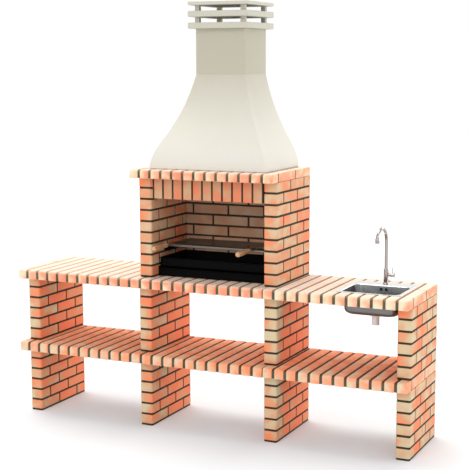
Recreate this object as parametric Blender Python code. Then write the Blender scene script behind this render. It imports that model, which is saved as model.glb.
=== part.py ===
"""Outdoor masonry barbecue: four brick piers carry a tiled shelf and a tiled worktop. A brick firebox with
a concrete hood, flue and slatted cap stands over the middle bay, and a sink with a tap is let into the
right bay.

Metres, +Z up, +X to the right and +Y to the back. The origin is on the floor, under the middle of the
whole barbecue. Run it with blender --background --python part.py, or from Blender's text editor.
"""

import math

import bmesh
import bpy
from mathutils import Matrix, Vector

# Gap between pieces that touch, how far a cutter runs past what it cuts, and what counts as one point
FIT = 0.0003
OVERRUN = 0.005
MERGE = 0.00001

# Brickwork
BRICK_LENGTH = 0.185
BRICK_WIDTH = 0.080
BRICK_HEIGHT = 0.0525
MORTAR_JOINT = 0.010
MORTAR_RECESS = 0.0015
ARRIS_RADIUS = 0.012
LOWER_COURSES = 6
UPPER_COURSES = 6
FIREBOX_COURSES = 9

# Bays between the four piers
SIDE_BAY = 0.669
CENTRE_BAY = 0.687

# Shelf and worktop: tiles with a full-height rounded nose on a concrete core
SLAB_THICKNESS = 0.055
CORE_THICKNESS = 0.030
SLAB_FRONT_OVERHANG = 0.070
SLAB_LEFT_OVERHANG = 0.018
NOSE_DEPTH = 0.025
NOSE_RADIUS = 0.014
TILE_WIDTH = 0.055
TILE_JOINT = 0.0132
LEFT_SECTION_BEARING = 0.0382
CENTRE_SECTION_BEARING = 0.0214
SECTION_SEAM = 0.003

# Firebox and its top slab
FIREBOX_INSET = 0.006
BACK_WALL_THICKNESS = 0.0525
SOLDIER_WIDTH = 0.0507
SOLDIER_HEIGHT = 0.115
LINTEL_DEPTH = 0.080
SPRINGER_REACH = 0.009
TOP_SLAB_THICKNESS = 0.050
TOP_SLAB_LEFT_OVERHANG = 0.0204
TOP_TILE_JOINT = 0.0122

# Hood, flue and cap
FLUE_WIDTH = 0.297
FLUE_DEPTH = 0.297
FLUE_HEIGHT = 0.2495
FLUE_WALL = 0.025
HOOD_WIDTH = 0.707
HOOD_HEIGHT = 0.5175
HOOD_WALL = 0.028
HOOD_LIP = 0.004
HOOD_SEAT = 0.030
CONCRETE_ARRIS = 0.008
CAP_OVERHANG = 0.0335
CAP_PLATE = 0.0327
CAP_TOP_PLATE = 0.0197
CAP_GAP = 0.0308
CAP_SPACER = 0.025
CAP_SPACER_REACH = 0.002
HOOD_LEVELS = 8
# The hood's flare: (share of the spread left, share of the height), as the control points of a curve
HOOD_FLARE_SHARES = ((1.0, 0.0), (0.925, 0.315), (0.405, 0.327), (0.0, 1.0))

# Fire trays and the stand that carries them
SHEET = 0.002
STAND_SIDE_GAP = 0.003
STAND_FLANGE = 0.014
STAND_HEIGHT = 0.056
TRAY_DEPTH = 0.329
TRAY_BACK_GAP = 0.020
TRAY_HEIGHT = 0.048
TRAY_RIM = 0.008
RUNNING_GAP = 0.0015
DRAWER_HEIGHT = 0.046
PULL_DEPTH = 0.010
SLOT_WIDTH = 0.010
SLOT_LENGTH = 0.240
SLOT_PITCH = 0.052

# Cooking grill on two cross bars, which lie on angles fixed to the firebox walls
GRILL_HEIGHT = 0.1685
GRILL_WIDTH = 0.537
GRILL_DEPTH = 0.268
GRILL_LEFT_GAP = 0.015
GRILL_BACK_GAP = 0.007
FRAME_WIRE = 0.006
GRILL_WIRE = 0.004
GRILL_WIRE_PITCH = 0.0165
GRILL_CORNER = 0.015
WELD = 0.001
CROSS_BAR = 0.010
CROSS_BAR_INSET = 0.020
ANGLE_LEG = 0.020
ANGLE_SHEET = 0.003
HANDLE_LENGTH = 0.158
HANDLE_RADIUS = 0.0145
HANDLE_WAIST = 0.012
HANDLE_TIP_RADIUS = 0.006
# Where the handle's neck ends and its grip starts, along its length
HANDLE_NECK_SHARE = 0.33
HANDLE_GRIP_SHARE = 0.67
HANDLE_CORNER_INSET = 0.012
TANG_LENGTH = 0.050
TANG_REACH = 0.022
BORE_CLEARANCE = 0.0005

# Sink
SINK_SIDE_RIM = 0.0186
SINK_TAP_LEDGE = 0.0944
SINK_RIGHT_MARGIN = 0.075
SINK_FRONT_MARGIN = 0.099
SINK_SHEET = 0.0012
FLANGE_CORNER = 0.012
BOWL_WIDTH = 0.3148
BOWL_DEPTH = 0.244
BOWL_FRONT_RIM = 0.0186
BOWL_HEIGHT = 0.125
BOWL_TAPER = 0.010
BOWL_MOUTH_CORNER = 0.020
BOWL_CORNER = 0.040
BOWL_BOTTOM_RADIUS = 0.030
CUTOUT_SIDE = 0.008
CUTOUT_BACK = 0.012
OVERFLOW_SIZE = 0.015
OVERFLOW_SPACING = 0.029
OVERFLOW_DROP = 0.022
OVERFLOW_OFFSET = 0.004
WASTE_RADIUS = 0.0205
WASTE_BORE = 0.0175
WASTE_LENGTH = 0.065
WASTE_COLLAR = 0.036
WASTE_COLLAR_HEIGHT = 0.010
WASTE_CONE_HEIGHT = 0.012
STRAINER_RADIUS = 0.033
STRAINER_SHEET = 0.0015
STRAINER_CUP_RADIUS = 0.016
STRAINER_CUP_DEPTH = 0.010
STRAINER_KNOB_RADIUS = 0.004
STRAINER_KNOB_HEIGHT = 0.010
STRAINER_HOLE_RADIUS = 0.0022
STRAINER_HOLES = 8

# Tap
TAP_BACK_MARGIN = 0.038
TAP_SIDE_OFFSET = -0.003
TAP_BASE_RADIUS = 0.0165
TAP_BASE_HEIGHT = 0.006
TAP_BODY_RADIUS = 0.0135
TAP_BODY_HEIGHT = 0.075
SPOUT_RADIUS = 0.009
SPOUT_RISE = 0.1445
SPOUT_ARC = 0.086
# How much of a half turn the swan neck bends before its tip bends down
SPOUT_TURN_SHARE = 0.8
SPOUT_TIP_BEND = 0.012
SPOUT_DROP = 0.003
AERATOR_RADIUS = 0.012
AERATOR_HEIGHT = 0.025
VALVE_HEIGHT = 0.044
VALVE_RADIUS = 0.009
VALVE_LENGTH = 0.013
TAP_HANDLE_RADIUS = 0.0125
TAP_HANDLE_LENGTH = 0.022
LEVER_RADIUS = 0.0025
LEVER_LENGTH = 0.036
LEVER_SEAT = 0.008
SHANK_RADIUS = 0.008
SHANK_HOLE_CLEARANCE = 0.001
SHANK_LENGTH = 0.045
NUT_RADIUS = 0.014
NUT_HEIGHT = 0.008

# How finely round shapes are divided
CORNER_STEPS = 3
ARRIS_STEPS = 2
ROUND_SIDES = 20
TUBE_SIDES = 12
SMALL_SIDES = 8
WIRE_SIDES = 6
SPOUT_STEPS = 14

# Places that follow from the sizes above
COURSE = BRICK_HEIGHT + MORTAR_JOINT
HALF_BRICK = (BRICK_LENGTH - MORTAR_JOINT) / 2
WALL_DEPTH = 2 * BRICK_LENGTH + HALF_BRICK + 2 * MORTAR_JOINT
WIDTH = SLAB_LEFT_OVERHANG + 4 * BRICK_WIDTH + 2 * SIDE_BAY + CENTRE_BAY
DEPTH = SLAB_FRONT_OVERHANG + WALL_DEPTH + CAP_OVERHANG
SLAB_FRONT = -DEPTH / 2
FRONT = SLAB_FRONT + SLAB_FRONT_OVERHANG
BACK = FRONT + WALL_DEPTH
LEFT = -WIDTH / 2
RIGHT = WIDTH / 2
PIER_1 = LEFT + SLAB_LEFT_OVERHANG
PIER_2 = PIER_1 + BRICK_WIDTH + SIDE_BAY
PIER_3 = PIER_2 + BRICK_WIDTH + CENTRE_BAY
PIER_4 = PIER_3 + BRICK_WIDTH + SIDE_BAY
SHELF_BASE = LOWER_COURSES * COURSE
SHELF_TOP = SHELF_BASE + SLAB_THICKNESS
WORKTOP_BASE = SHELF_TOP + UPPER_COURSES * COURSE
WORKTOP_TOP = WORKTOP_BASE + SLAB_THICKNESS
FIREBOX_TOP = WORKTOP_TOP + FIREBOX_COURSES * COURSE
HOOD_BASE = FIREBOX_TOP + TOP_SLAB_THICKNESS
HOOD_TOP = HOOD_BASE + HOOD_HEIGHT
FLUE_TOP = HOOD_TOP + FLUE_HEIGHT
FIREBOX_LEFT = PIER_2 + FIREBOX_INSET
FIREBOX_RIGHT = PIER_3 + BRICK_WIDTH
CAVITY_LEFT = FIREBOX_LEFT + BRICK_WIDTH
CAVITY_RIGHT = PIER_3
CAVITY_BACK = BACK - BACK_WALL_THICKNESS
TRAY_FRONT_SETBACK = CAVITY_BACK - TRAY_BACK_GAP - TRAY_DEPTH - FRONT
GRILL_SETBACK = CAVITY_BACK - GRILL_BACK_GAP - GRILL_DEPTH - FRONT
SINK_WIDTH = BOWL_WIDTH + 2 * SINK_SIDE_RIM
SINK_DEPTH = BOWL_FRONT_RIM + BOWL_DEPTH + SINK_TAP_LEDGE
HOOD_X = (FIREBOX_LEFT + FIREBOX_RIGHT) / 2
FLUE_BACK = BACK
FLUE_Y = FLUE_BACK - FLUE_DEPTH / 2

# Turns a shape that is drawn in X and Y, and drawn out along Z, so that it stands in X and Z and runs along Y
ALONG_Y = Matrix(((1, 0, 0, 0), (0, 0, 1, 0), (0, 1, 0, 0), (0, 0, 0, 1)))


def clear_scene():
    for obj in list(bpy.data.objects):
        bpy.data.objects.remove(obj, do_unlink=True)


def linear(channel):
    """A shader's value for one sRGB channel from 0 to 1."""
    if channel <= 0.04045:
        return channel / 12.92
    return ((channel + 0.055) / 1.055) ** 2.4


def make_material(name, colour, roughness, metallic=0.0):
    material = bpy.data.materials.new(name)
    material.use_nodes = True
    shader = material.node_tree.nodes["Principled BSDF"]
    channels = [int(colour[i : i + 2], 16) / 255 for i in (0, 2, 4)]
    shader.inputs["Base Color"].default_value = (*map(linear, channels), 1)
    shader.inputs["Roughness"].default_value = roughness
    shader.inputs["Metallic"].default_value = metallic
    return material


def make_materials():
    """One material for each kind of surface."""
    return {
        "brick": make_material("brick", "E8946A", 0.85),
        "tile": make_material("tile", "F0A882", 0.8),
        "mortar": make_material("mortar", "5E5040", 0.95),
        "core": make_material("core_concrete", "9C9688", 0.95),
        "concrete": make_material("hood_concrete", "DFD8C6", 0.9),
        "black": make_material("black_steel", "181818", 0.55, 0.6),
        "wire": make_material("zinc_wire", "9A958C", 0.4, 0.9),
        "wood": make_material("beech", "C89664", 0.6),
        "steel": make_material("sink_steel", "B4B6B8", 0.3, 1.0),
        "chrome": make_material("chrome", "D8D8DA", 0.12, 1.0),
        "plastic": make_material("waste_plastic", "E6DCDC", 0.4),
    }


def make_object(name, bm, material, parent=None, smooth=False, mortar=None):
    """Turns a bmesh in world places into an object. Under a parent it keeps its place and turns about it."""
    bmesh.ops.remove_doubles(bm, verts=bm.verts, dist=MERGE)
    bmesh.ops.recalc_face_normals(bm, faces=bm.faces)
    origin = parent.location.copy() if parent else Vector()
    bmesh.ops.translate(bm, verts=bm.verts, vec=-origin)
    mesh = bpy.data.meshes.new(name)
    bm.to_mesh(mesh)
    bm.free()
    if smooth:
        mesh.shade_smooth()
        mesh.set_sharp_from_angle(angle=math.radians(40))
    for each in filter(None, (material, mortar)):
        mesh.materials.append(each)
    obj = bpy.data.objects.new(name, mesh)
    obj.parent = parent
    bpy.context.scene.collection.objects.link(obj)
    return obj


def make_pivot(name, place):
    """An empty on a joint's axis, which carries the pieces that move together."""
    pivot = bpy.data.objects.new(name, None)
    pivot.location = place
    bpy.context.scene.collection.objects.link(pivot)
    return pivot


def combine(obj, helper, operation):
    """Cuts a hidden helper's shape out of an object with DIFFERENCE, or welds it on with UNION."""
    boolean = obj.modifiers.new(helper.name, "BOOLEAN")
    boolean.object = helper
    boolean.operation = operation
    boolean.solver = "EXACT"


def make_helper(name, bm, parent=None):
    helper = make_object(name, bm, None, parent)
    helper.hide_render = True
    helper.display_type = "WIRE"
    return helper


def add_box(bm, low, high):
    """A closed box between two corners."""
    low = Vector(low)
    high = Vector(high)
    bmesh.ops.create_cube(bm, size=1, matrix=Matrix.LocRotScale((low + high) / 2, None, high - low))


def add_loft(bm, rings, hollow=False):
    """Joins rings of as many points each, and returns the faces between each two. A hollow loft also joins
    the last ring to the first, and a solid one closes its two ends."""
    loops = [[bm.verts.new(point) for point in ring] for ring in rings]
    pairs = list(zip(loops, loops[1:]))
    if hollow:
        pairs.append((loops[-1], loops[0]))
    else:
        bm.faces.new(loops[0])
        bm.faces.new(loops[-1])
    return [
        [bm.faces.new((a[i - 1], a[i], b[i], b[i - 1])) for i in range(len(a))] for a, b in pairs
    ]


def add_banded(bm, section, spans):
    """Lofts a section along (start, end, recess) spans. The recessed ones are mortar, the second material."""
    rings = [section(recess, at) for start, end, recess in spans for at in (start, end)]
    bands = add_loft(bm, rings)
    for (_, _, recess), faces in zip(spans, bands[::2]):
        for face in faces:
            face.material_index = 1 if recess else 0


def add_prism(bm, outline, start, end, place=None):
    """Draws a flat outline out from one height to another, then puts it in place."""
    place = place or Matrix()
    add_loft(bm, [[place @ Vector((u, v, w)) for u, v in outline] for w in (start, end)])


def arc(centre, radius, start, end, steps):
    """Points on an arc, its angles in quarter turns."""
    angles = [math.radians(90 * (start + (end - start) * i / steps)) for i in range(steps + 1)]
    return [(centre[0] + radius * math.cos(a), centre[1] + radius * math.sin(a)) for a in angles]


def rounded_rectangle(low, high, radius, steps=CORNER_STEPS):
    """The outline of a rectangle with rounded corners, anticlockwise from its right side."""
    x0, y0 = low[0] + radius, low[1] + radius
    x1, y1 = high[0] - radius, high[1] - radius
    corners = ((x1, y1), (x0, y1), (x0, y0), (x1, y0))
    return [p for i, corner in enumerate(corners) for p in arc(corner, radius, i, i + 1, steps)]


def rounded_ring(low, high, radius, height, steps=CORNER_STEPS):
    return [Vector((x, y, height)) for x, y in rounded_rectangle(low, high, radius, steps)]


def add_turned(bm, profile, place, sides=ROUND_SIDES, bored=False):
    """Turns (radius, height) points about Z, then puts them in place. A bored profile is a closed loop."""
    turns = [math.tau * i / sides for i in range(sides)]
    rings = [[place @ Vector((r * math.cos(t), r * math.sin(t), h)) for t in turns] for r, h in profile]
    add_loft(bm, rings, bored)


def add_swept(bm, path, normal, radius, sides, closed=False):
    """Sweeps a round section along a path that lies in the plane square to the normal."""
    normal = Vector(normal)
    path = [Vector(point) for point in path]
    rings = []
    for i, point in enumerate(path):
        before = path[i - 1] if closed or i else point
        after = path[(i + 1) % len(path)] if closed or i < len(path) - 1 else point
        along = (after - before).normalized()
        first = (point - before).normalized() if point != before else along
        side = normal.cross(along) / along.dot(first)
        turns = [math.tau * k / sides for k in range(sides)]
        rings.append([point + radius * (side * math.cos(t) + normal * math.sin(t)) for t in turns])
    add_loft(bm, rings, closed)


# Brickwork


def wall_section(left, right, front, back, arris):
    """A function that gives a wall's outline at one height, drawn in by a recess. Where the wall ends in
    free air, its front arrises are rounded."""

    def section(recess, height):
        x0, x1, y0, y1 = left + recess, right - recess, front + recess, back - recess
        radius = ARRIS_RADIUS - recess
        if arris:
            outline = arc((x0 + radius, y0 + radius), radius, 2, 3, ARRIS_STEPS)
            outline += arc((x1 - radius, y0 + radius), radius, 3, 4, ARRIS_STEPS)
        else:
            outline = [(x0, y0), (x1, y0)]
        return [Vector((x, y, height)) for x, y in outline + [(x1, y1), (x0, y1)]]

    return section


def build_wall(name, section, base, courses, materials):
    """Courses of bricks, each on its mortar bed. A wall that stands on a slab starts just above it."""
    spans = []
    for course in range(courses):
        bottom = base + course * COURSE
        brick_bottom = bottom + MORTAR_JOINT
        spans.append((bottom + (FIT if bottom == base and base else 0), brick_bottom, MORTAR_RECESS))
        spans.append((brick_bottom, bottom + COURSE, 0))
    bm = bmesh.new()
    add_banded(bm, section, spans)
    make_object(name, bm, materials["brick"], mortar=materials["mortar"])


def build_pier(number, left, materials):
    """A pier's lower part under the shelf, and its upper part between the shelf and the worktop."""
    section = wall_section(left, left + BRICK_WIDTH, FRONT, BACK, True)
    build_wall(f"pier_{number}_lower", section, 0, LOWER_COURSES, materials)
    build_wall(f"pier_{number}_upper", section, SHELF_TOP, UPPER_COURSES, materials)


def build_firebox(materials):
    """Two side walls one brick wide, and a thinner back wall between them."""
    left = wall_section(FIREBOX_LEFT, CAVITY_LEFT, FRONT, BACK, True)
    right = wall_section(CAVITY_RIGHT, FIREBOX_RIGHT, FRONT, BACK, True)
    back = wall_section(CAVITY_LEFT + FIT, CAVITY_RIGHT - FIT, CAVITY_BACK, BACK, False)
    for name, section in (("left", left), ("right", right), ("back", back)):
        build_wall(f"firebox_{name}_wall", section, WORKTOP_TOP, FIREBOX_COURSES, materials)


def build_lintel(materials):
    """Soldiers over the fire opening, with a mortar joint on each side of each. A brick end that reaches in
    from the left wall, the springer, stands before the first joint."""

    def section(recess, x):
        low = (FRONT + recess, FIREBOX_TOP - SOLDIER_HEIGHT + recess)
        high = (FRONT + LINTEL_DEPTH - recess, FIREBOX_TOP - recess)
        outline = [low, (high[0], low[1]), high, (low[0], high[1])]
        return [Vector((x, y, z)) for y, z in outline]

    start = CAVITY_LEFT + SPRINGER_REACH
    clear = CAVITY_RIGHT - FIT - start
    count = round((clear - MORTAR_JOINT) / (SOLDIER_WIDTH + MORTAR_JOINT))
    joint = (clear - count * SOLDIER_WIDTH) / (count + 1)
    spans = [(CAVITY_LEFT + FIT, start, 0)]
    for i in range(count + 1):
        left = start + i * (SOLDIER_WIDTH + joint)
        spans.append((left, left + joint, MORTAR_RECESS))
        if i < count:
            spans.append((left + joint, left + joint + SOLDIER_WIDTH, 0))
    bm = bmesh.new()
    add_banded(bm, section, spans)
    make_object("lintel", bm, materials["brick"], mortar=materials["mortar"])


# Tiled slabs


def deck_section(base, thickness, whole_to, whole_from):
    """A function that gives the tiles' section at one X, drawn in by a recess: a rounded nose of full height
    in front and a thin body behind it. A tile up to whole_to or from whole_from is of full height all
    through, and closes the core's end."""

    def section(recess, x):
        whole = not recess and not whole_to < x < whole_from
        front = SLAB_FRONT + recess
        nose_back = SLAB_FRONT + NOSE_DEPTH - recess
        bottom = base + FIT + recess
        underside = bottom if whole else base + CORE_THICKNESS + FIT + recess
        foot = SLAB_FRONT + NOSE_DEPTH / 2 if whole else nose_back
        top = base + thickness - recess
        outline = arc((front + NOSE_RADIUS, top - NOSE_RADIUS), NOSE_RADIUS, 2, 1, ARRIS_STEPS)
        outline += [(BACK - recess, top), (BACK - recess, underside)]
        outline += [(nose_back, underside), (foot, bottom), (front, bottom)]
        return [Vector((x, y, z)) for y, z in outline]

    return section


def tile_lefts(start, end, joint):
    """The left sides of a row of whole tiles whose joints are spread evenly."""
    count = round((end - start + joint) / (TILE_WIDTH + joint))
    pitch = (end - start - TILE_WIDTH) / (count - 1)
    return [start + i * pitch for i in range(count)]


def build_slab(name, start, end, base, thickness, joint, materials, gap_before=0.0, free_ends=()):
    """A deck of tiles and its core. The deck also holds the joint before its first tile. A free end is
    closed by a tile of full height."""
    spans = [(start - gap_before + FIT, start, MORTAR_RECESS)] if gap_before else []
    lefts = tile_lefts(start, end, joint)
    whole_to = lefts[0] + TILE_WIDTH if "left" in free_ends else -math.inf
    whole_from = lefts[-1] if "right" in free_ends else math.inf
    for left, after in zip(lefts, lefts[1:]):
        spans.append((left, left + TILE_WIDTH, 0))
        spans.append((left + TILE_WIDTH, after, MORTAR_RECESS))
    spans.append((lefts[-1], end, 0))
    tiles = bmesh.new()
    add_banded(tiles, deck_section(base, thickness, whole_to, whole_from), spans)
    core = bmesh.new()
    low = (max(start - gap_before, whole_to) + FIT, SLAB_FRONT + NOSE_DEPTH + FIT, base + FIT)
    add_box(core, low, (min(end, whole_from - FIT), BACK, base + CORE_THICKNESS))
    tile_object = make_object(f"{name}_tiles", tiles, materials["tile"], mortar=materials["mortar"])
    core_object = make_object(f"{name}_core", core, materials["core"])
    return tile_object, core_object


def build_counter(level, base, materials):
    """The left, centre and right sections of the shelf or of the worktop."""
    left_end = PIER_2 + LEFT_SECTION_BEARING
    centre_end = PIER_3 + CENTRE_SECTION_BEARING
    sections = (
        ("left", LEFT, left_end, 0.0),
        ("centre", left_end + TILE_JOINT, centre_end, TILE_JOINT),
        ("right", centre_end + SECTION_SEAM, RIGHT, SECTION_SEAM),
    )
    return {
        side: build_slab(
            f"{level}_{side}", start, end, base, SLAB_THICKNESS, TILE_JOINT, materials, gap, (side,)
        )
        for side, start, end, gap in sections
    }


def build_top_slab(materials):
    """The slab on the firebox, open in the middle for the smoke."""
    start = FIREBOX_LEFT - TOP_SLAB_LEFT_OVERHANG
    size = (start, FIREBOX_RIGHT, FIREBOX_TOP, TOP_SLAB_THICKNESS, TOP_TILE_JOINT)
    pieces = build_slab("top_slab", *size, materials, free_ends=("left", "right"))
    inset = HOOD_WALL + HOOD_SEAT
    opening = bmesh.new()
    low = (HOOD_X - HOOD_WIDTH / 2 + inset, FRONT - HOOD_LIP + inset, FIREBOX_TOP - OVERRUN)
    add_box(opening, low, (HOOD_X + HOOD_WIDTH / 2 - inset, BACK - inset, HOOD_BASE + OVERRUN))
    cutter = make_helper("smoke_opening_cutter", opening)
    for piece in pieces:
        combine(piece, cutter, "DIFFERENCE")


# Hood, flue and cap


def flare(level):
    """(share of the spread left, share of the height) at one level of the hood's curve."""
    t = level / HOOD_LEVELS
    weights = ((1 - t) ** 3, 3 * (1 - t) ** 2 * t, 3 * (1 - t) * t**2, t**3)
    return [sum(w * point[i] for w, point in zip(weights, HOOD_FLARE_SHARES)) for i in (0, 1)]


def hood_ring(level, inset):
    """The hood's section at one level, drawn in by the inset."""
    spread, rise = flare(level)
    half = FLUE_WIDTH / 2 + spread * (HOOD_WIDTH - FLUE_WIDTH) / 2 - inset
    front_run = FLUE_BACK - FLUE_DEPTH - (FRONT - HOOD_LIP)
    front = FLUE_BACK - FLUE_DEPTH - spread * front_run + inset
    back = FLUE_BACK - inset
    height = HOOD_BASE + FIT + rise * (HOOD_HEIGHT - FIT)
    return rounded_ring((HOOD_X - half, front), (HOOD_X + half, back), CONCRETE_ARRIS, height, ARRIS_STEPS)


def build_hood(materials):
    bm = bmesh.new()
    levels = range(HOOD_LEVELS + 1)
    outside = [hood_ring(level, 0.0) for level in levels]
    inside = [hood_ring(level, HOOD_WALL) for level in reversed(levels)]
    add_loft(bm, outside + inside, hollow=True)
    make_object("hood", bm, materials["concrete"], smooth=True)


def flue_ring(reach, height):
    """A section round the flue, reaching out from its faces, or in where the reach is negative."""
    low = (HOOD_X - FLUE_WIDTH / 2 - reach, FLUE_BACK - FLUE_DEPTH - reach)
    high = (HOOD_X + FLUE_WIDTH / 2 + reach, FLUE_BACK + reach)
    return rounded_ring(low, high, CONCRETE_ARRIS, height, ARRIS_STEPS)


def add_flue_tube(bm, reach, bottom, top):
    """A square tube or a holed plate with the flue's bore."""
    bore = -FLUE_WALL
    rings = [flue_ring(reach, bottom), flue_ring(reach, top), flue_ring(bore, top), flue_ring(bore, bottom)]
    add_loft(bm, rings, hollow=True)


def build_flue(materials):
    bm = bmesh.new()
    add_flue_tube(bm, 0, HOOD_TOP + FIT, FLUE_TOP)
    make_object("flue", bm, materials["concrete"])


def build_cap(materials):
    """Three plates held apart by blocks over the flue's corners. The top one is whole."""
    for i, name in enumerate(("lower", "middle", "top")):
        bm = bmesh.new()
        bottom = FLUE_TOP + i * (CAP_PLATE + CAP_GAP)
        top = bottom + (CAP_TOP_PLATE if name == "top" else CAP_PLATE)
        if name == "top":
            add_loft(bm, [flue_ring(CAP_OVERHANG, bottom + FIT), flue_ring(CAP_OVERHANG, top)])
        else:
            add_flue_tube(bm, CAP_OVERHANG, bottom + FIT, top)
            build_spacers(name, top + FIT, top + CAP_GAP, materials)
        make_object(f"cap_plate_{name}", bm, materials["concrete"])


def build_spacers(level, bottom, top, materials):
    x = FLUE_WIDTH / 2 + CAP_SPACER_REACH - CAP_SPACER
    y = FLUE_DEPTH / 2 + CAP_SPACER_REACH - CAP_SPACER
    for side, left in (("left", HOOD_X - x - CAP_SPACER), ("right", HOOD_X + x)):
        for end, front in (("front", FLUE_Y - y - CAP_SPACER), ("back", FLUE_Y + y)):
            bm = bmesh.new()
            add_box(bm, (left, front, bottom), (left + CAP_SPACER, front + CAP_SPACER, top))
            make_object(f"cap_spacer_{level}_{end}_{side}", bm, materials["concrete"])


# Fire trays


def build_tray_stand(materials):
    """Two channels that stand on the worktop, welded to a plate across their backs. Their upper flanges
    carry the charcoal tray, and the ash drawer runs between them."""
    front = FRONT + TRAY_FRONT_SETBACK
    back = front + TRAY_DEPTH
    bottom = WORKTOP_TOP + FIT
    top = bottom + STAND_HEIGHT
    plate = bmesh.new()
    low = (CAVITY_LEFT + STAND_SIDE_GAP, back, bottom)
    add_box(plate, low, (CAVITY_RIGHT - STAND_SIDE_GAP, back + SHEET, top))
    stand = make_object("tray_stand", plate, materials["black"])
    for side, wall, turn in (("left", CAVITY_LEFT, 1), ("right", CAVITY_RIGHT, -1)):
        web = wall + turn * STAND_SIDE_GAP
        inner = web + turn * SHEET
        tip = web + turn * STAND_FLANGE
        outline = [(web, bottom), (tip, bottom), (tip, bottom + SHEET), (inner, bottom + SHEET)]
        outline += [(inner, top - SHEET), (tip, top - SHEET), (tip, top), (web, top)]
        channel = bmesh.new()
        add_prism(channel, outline, front, back + SHEET / 2, ALONG_Y)
        combine(stand, make_helper(f"stand_channel_{side}", channel), "UNION")


def add_open_tray(bm, low, high, rim, front_rim):
    """A sheet tray, open at the top, with a rim turned out at its upper edge."""
    under = high[2] - SHEET
    outer = (low[:2], high[:2])
    lip = ((low[0] - rim, low[1] - front_rim), (high[0] + rim, high[1] + rim))
    inner = ((low[0] + SHEET, low[1] + SHEET), (high[0] - SHEET, high[1] - SHEET))
    levels = ((outer, low[2]), (outer, under), (lip, under), (lip, high[2]), (inner, high[2]))
    levels += ((inner, low[2] + SHEET),)
    add_loft(bm, [rounded_ring(*corners, SHEET, height, 1) for corners, height in levels])


def build_charcoal_tray(materials, slide):
    """The tray that holds the fire. Slots in its floor let the ash fall into the drawer."""
    side = STAND_SIDE_GAP + TRAY_RIM
    bottom = WORKTOP_TOP + STAND_HEIGHT + 2 * FIT
    front = FRONT + TRAY_FRONT_SETBACK
    low = (CAVITY_LEFT + side, front + TRAY_RIM, bottom)
    high = (CAVITY_RIGHT - side, front + TRAY_DEPTH - TRAY_RIM, bottom + TRAY_HEIGHT)
    tray = bmesh.new()
    add_open_tray(tray, low, high, TRAY_RIM, TRAY_RIM)
    tray_object = make_object("charcoal_tray", tray, materials["black"], slide)
    slots = bmesh.new()
    count = math.floor((high[0] - low[0] - 2 * STAND_FLANGE) / SLOT_PITCH)
    middle = ((low[0] + high[0]) / 2, (low[1] + high[1]) / 2)
    for i in range(count):
        x = middle[0] + (i - (count - 1) / 2) * SLOT_PITCH
        corner = (x - SLOT_WIDTH / 2, middle[1] - SLOT_LENGTH / 2, bottom - OVERRUN)
        far = (x + SLOT_WIDTH / 2, middle[1] + SLOT_LENGTH / 2, bottom + SHEET + OVERRUN)
        add_box(slots, corner, far)
    combine(tray_object, make_helper("ash_slot_cutter", slots, slide), "DIFFERENCE")


def build_ash_drawer(materials, slide):
    """The drawer under the fire, with a pull folded out along its front."""
    side = STAND_SIDE_GAP + SHEET + RUNNING_GAP
    front = FRONT + TRAY_FRONT_SETBACK
    bottom = WORKTOP_TOP + SHEET + 2 * FIT
    low = (CAVITY_LEFT + side, front, bottom)
    high = (CAVITY_RIGHT - side, front + TRAY_DEPTH - RUNNING_GAP, bottom + DRAWER_HEIGHT)
    drawer = bmesh.new()
    add_open_tray(drawer, low, high, SHEET / 2, PULL_DEPTH)
    make_object("ash_drawer", drawer, materials["black"], slide)


# Cooking grill


def build_grill_supports(materials):
    """An angle fixed to each firebox wall."""
    seat = WORKTOP_TOP + GRILL_HEIGHT - FRAME_WIRE / 2 - CROSS_BAR - 2 * FIT
    low = seat - ANGLE_LEG
    front = FRONT + GRILL_SETBACK
    for side, wall, turn in (("left", CAVITY_LEFT, 1), ("right", CAVITY_RIGHT, -1)):
        web = wall + turn * FIT
        inner = web + turn * ANGLE_SHEET
        tip = web + turn * ANGLE_LEG
        outline = [(web, low), (inner, low), (inner, seat - ANGLE_SHEET), (tip, seat - ANGLE_SHEET)]
        outline += [(tip, seat), (web, seat)]
        bm = bmesh.new()
        add_prism(bm, outline, front, front + GRILL_DEPTH, ALONG_Y)
        make_object(f"grill_support_{side}", bm, materials["black"])


def build_cross_bars(materials):
    """Two round bars from wall to wall, which carry the grill."""
    z = WORKTOP_TOP + GRILL_HEIGHT - FRAME_WIRE / 2 - CROSS_BAR / 2 - FIT
    front = FRONT + GRILL_SETBACK
    for name, y in (("front", front + CROSS_BAR_INSET), ("rear", front + GRILL_DEPTH - CROSS_BAR_INSET)):
        bm = bmesh.new()
        path = [(CAVITY_LEFT + FIT, y, z), (CAVITY_RIGHT - FIT, y, z)]
        add_swept(bm, path, (0, 0, 1), CROSS_BAR / 2, SMALL_SIDES)
        make_object(f"grill_cross_bar_{name}", bm, materials["wire"], smooth=True)


def grill_left():
    return CAVITY_LEFT + GRILL_LEFT_GAP


def handle_places():
    """The X of the left and right handles, over the ends of the grill."""
    left = grill_left() + HANDLE_CORNER_INSET
    return {"left": left, "right": left + GRILL_WIDTH - 2 * HANDLE_CORNER_INSET}


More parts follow.
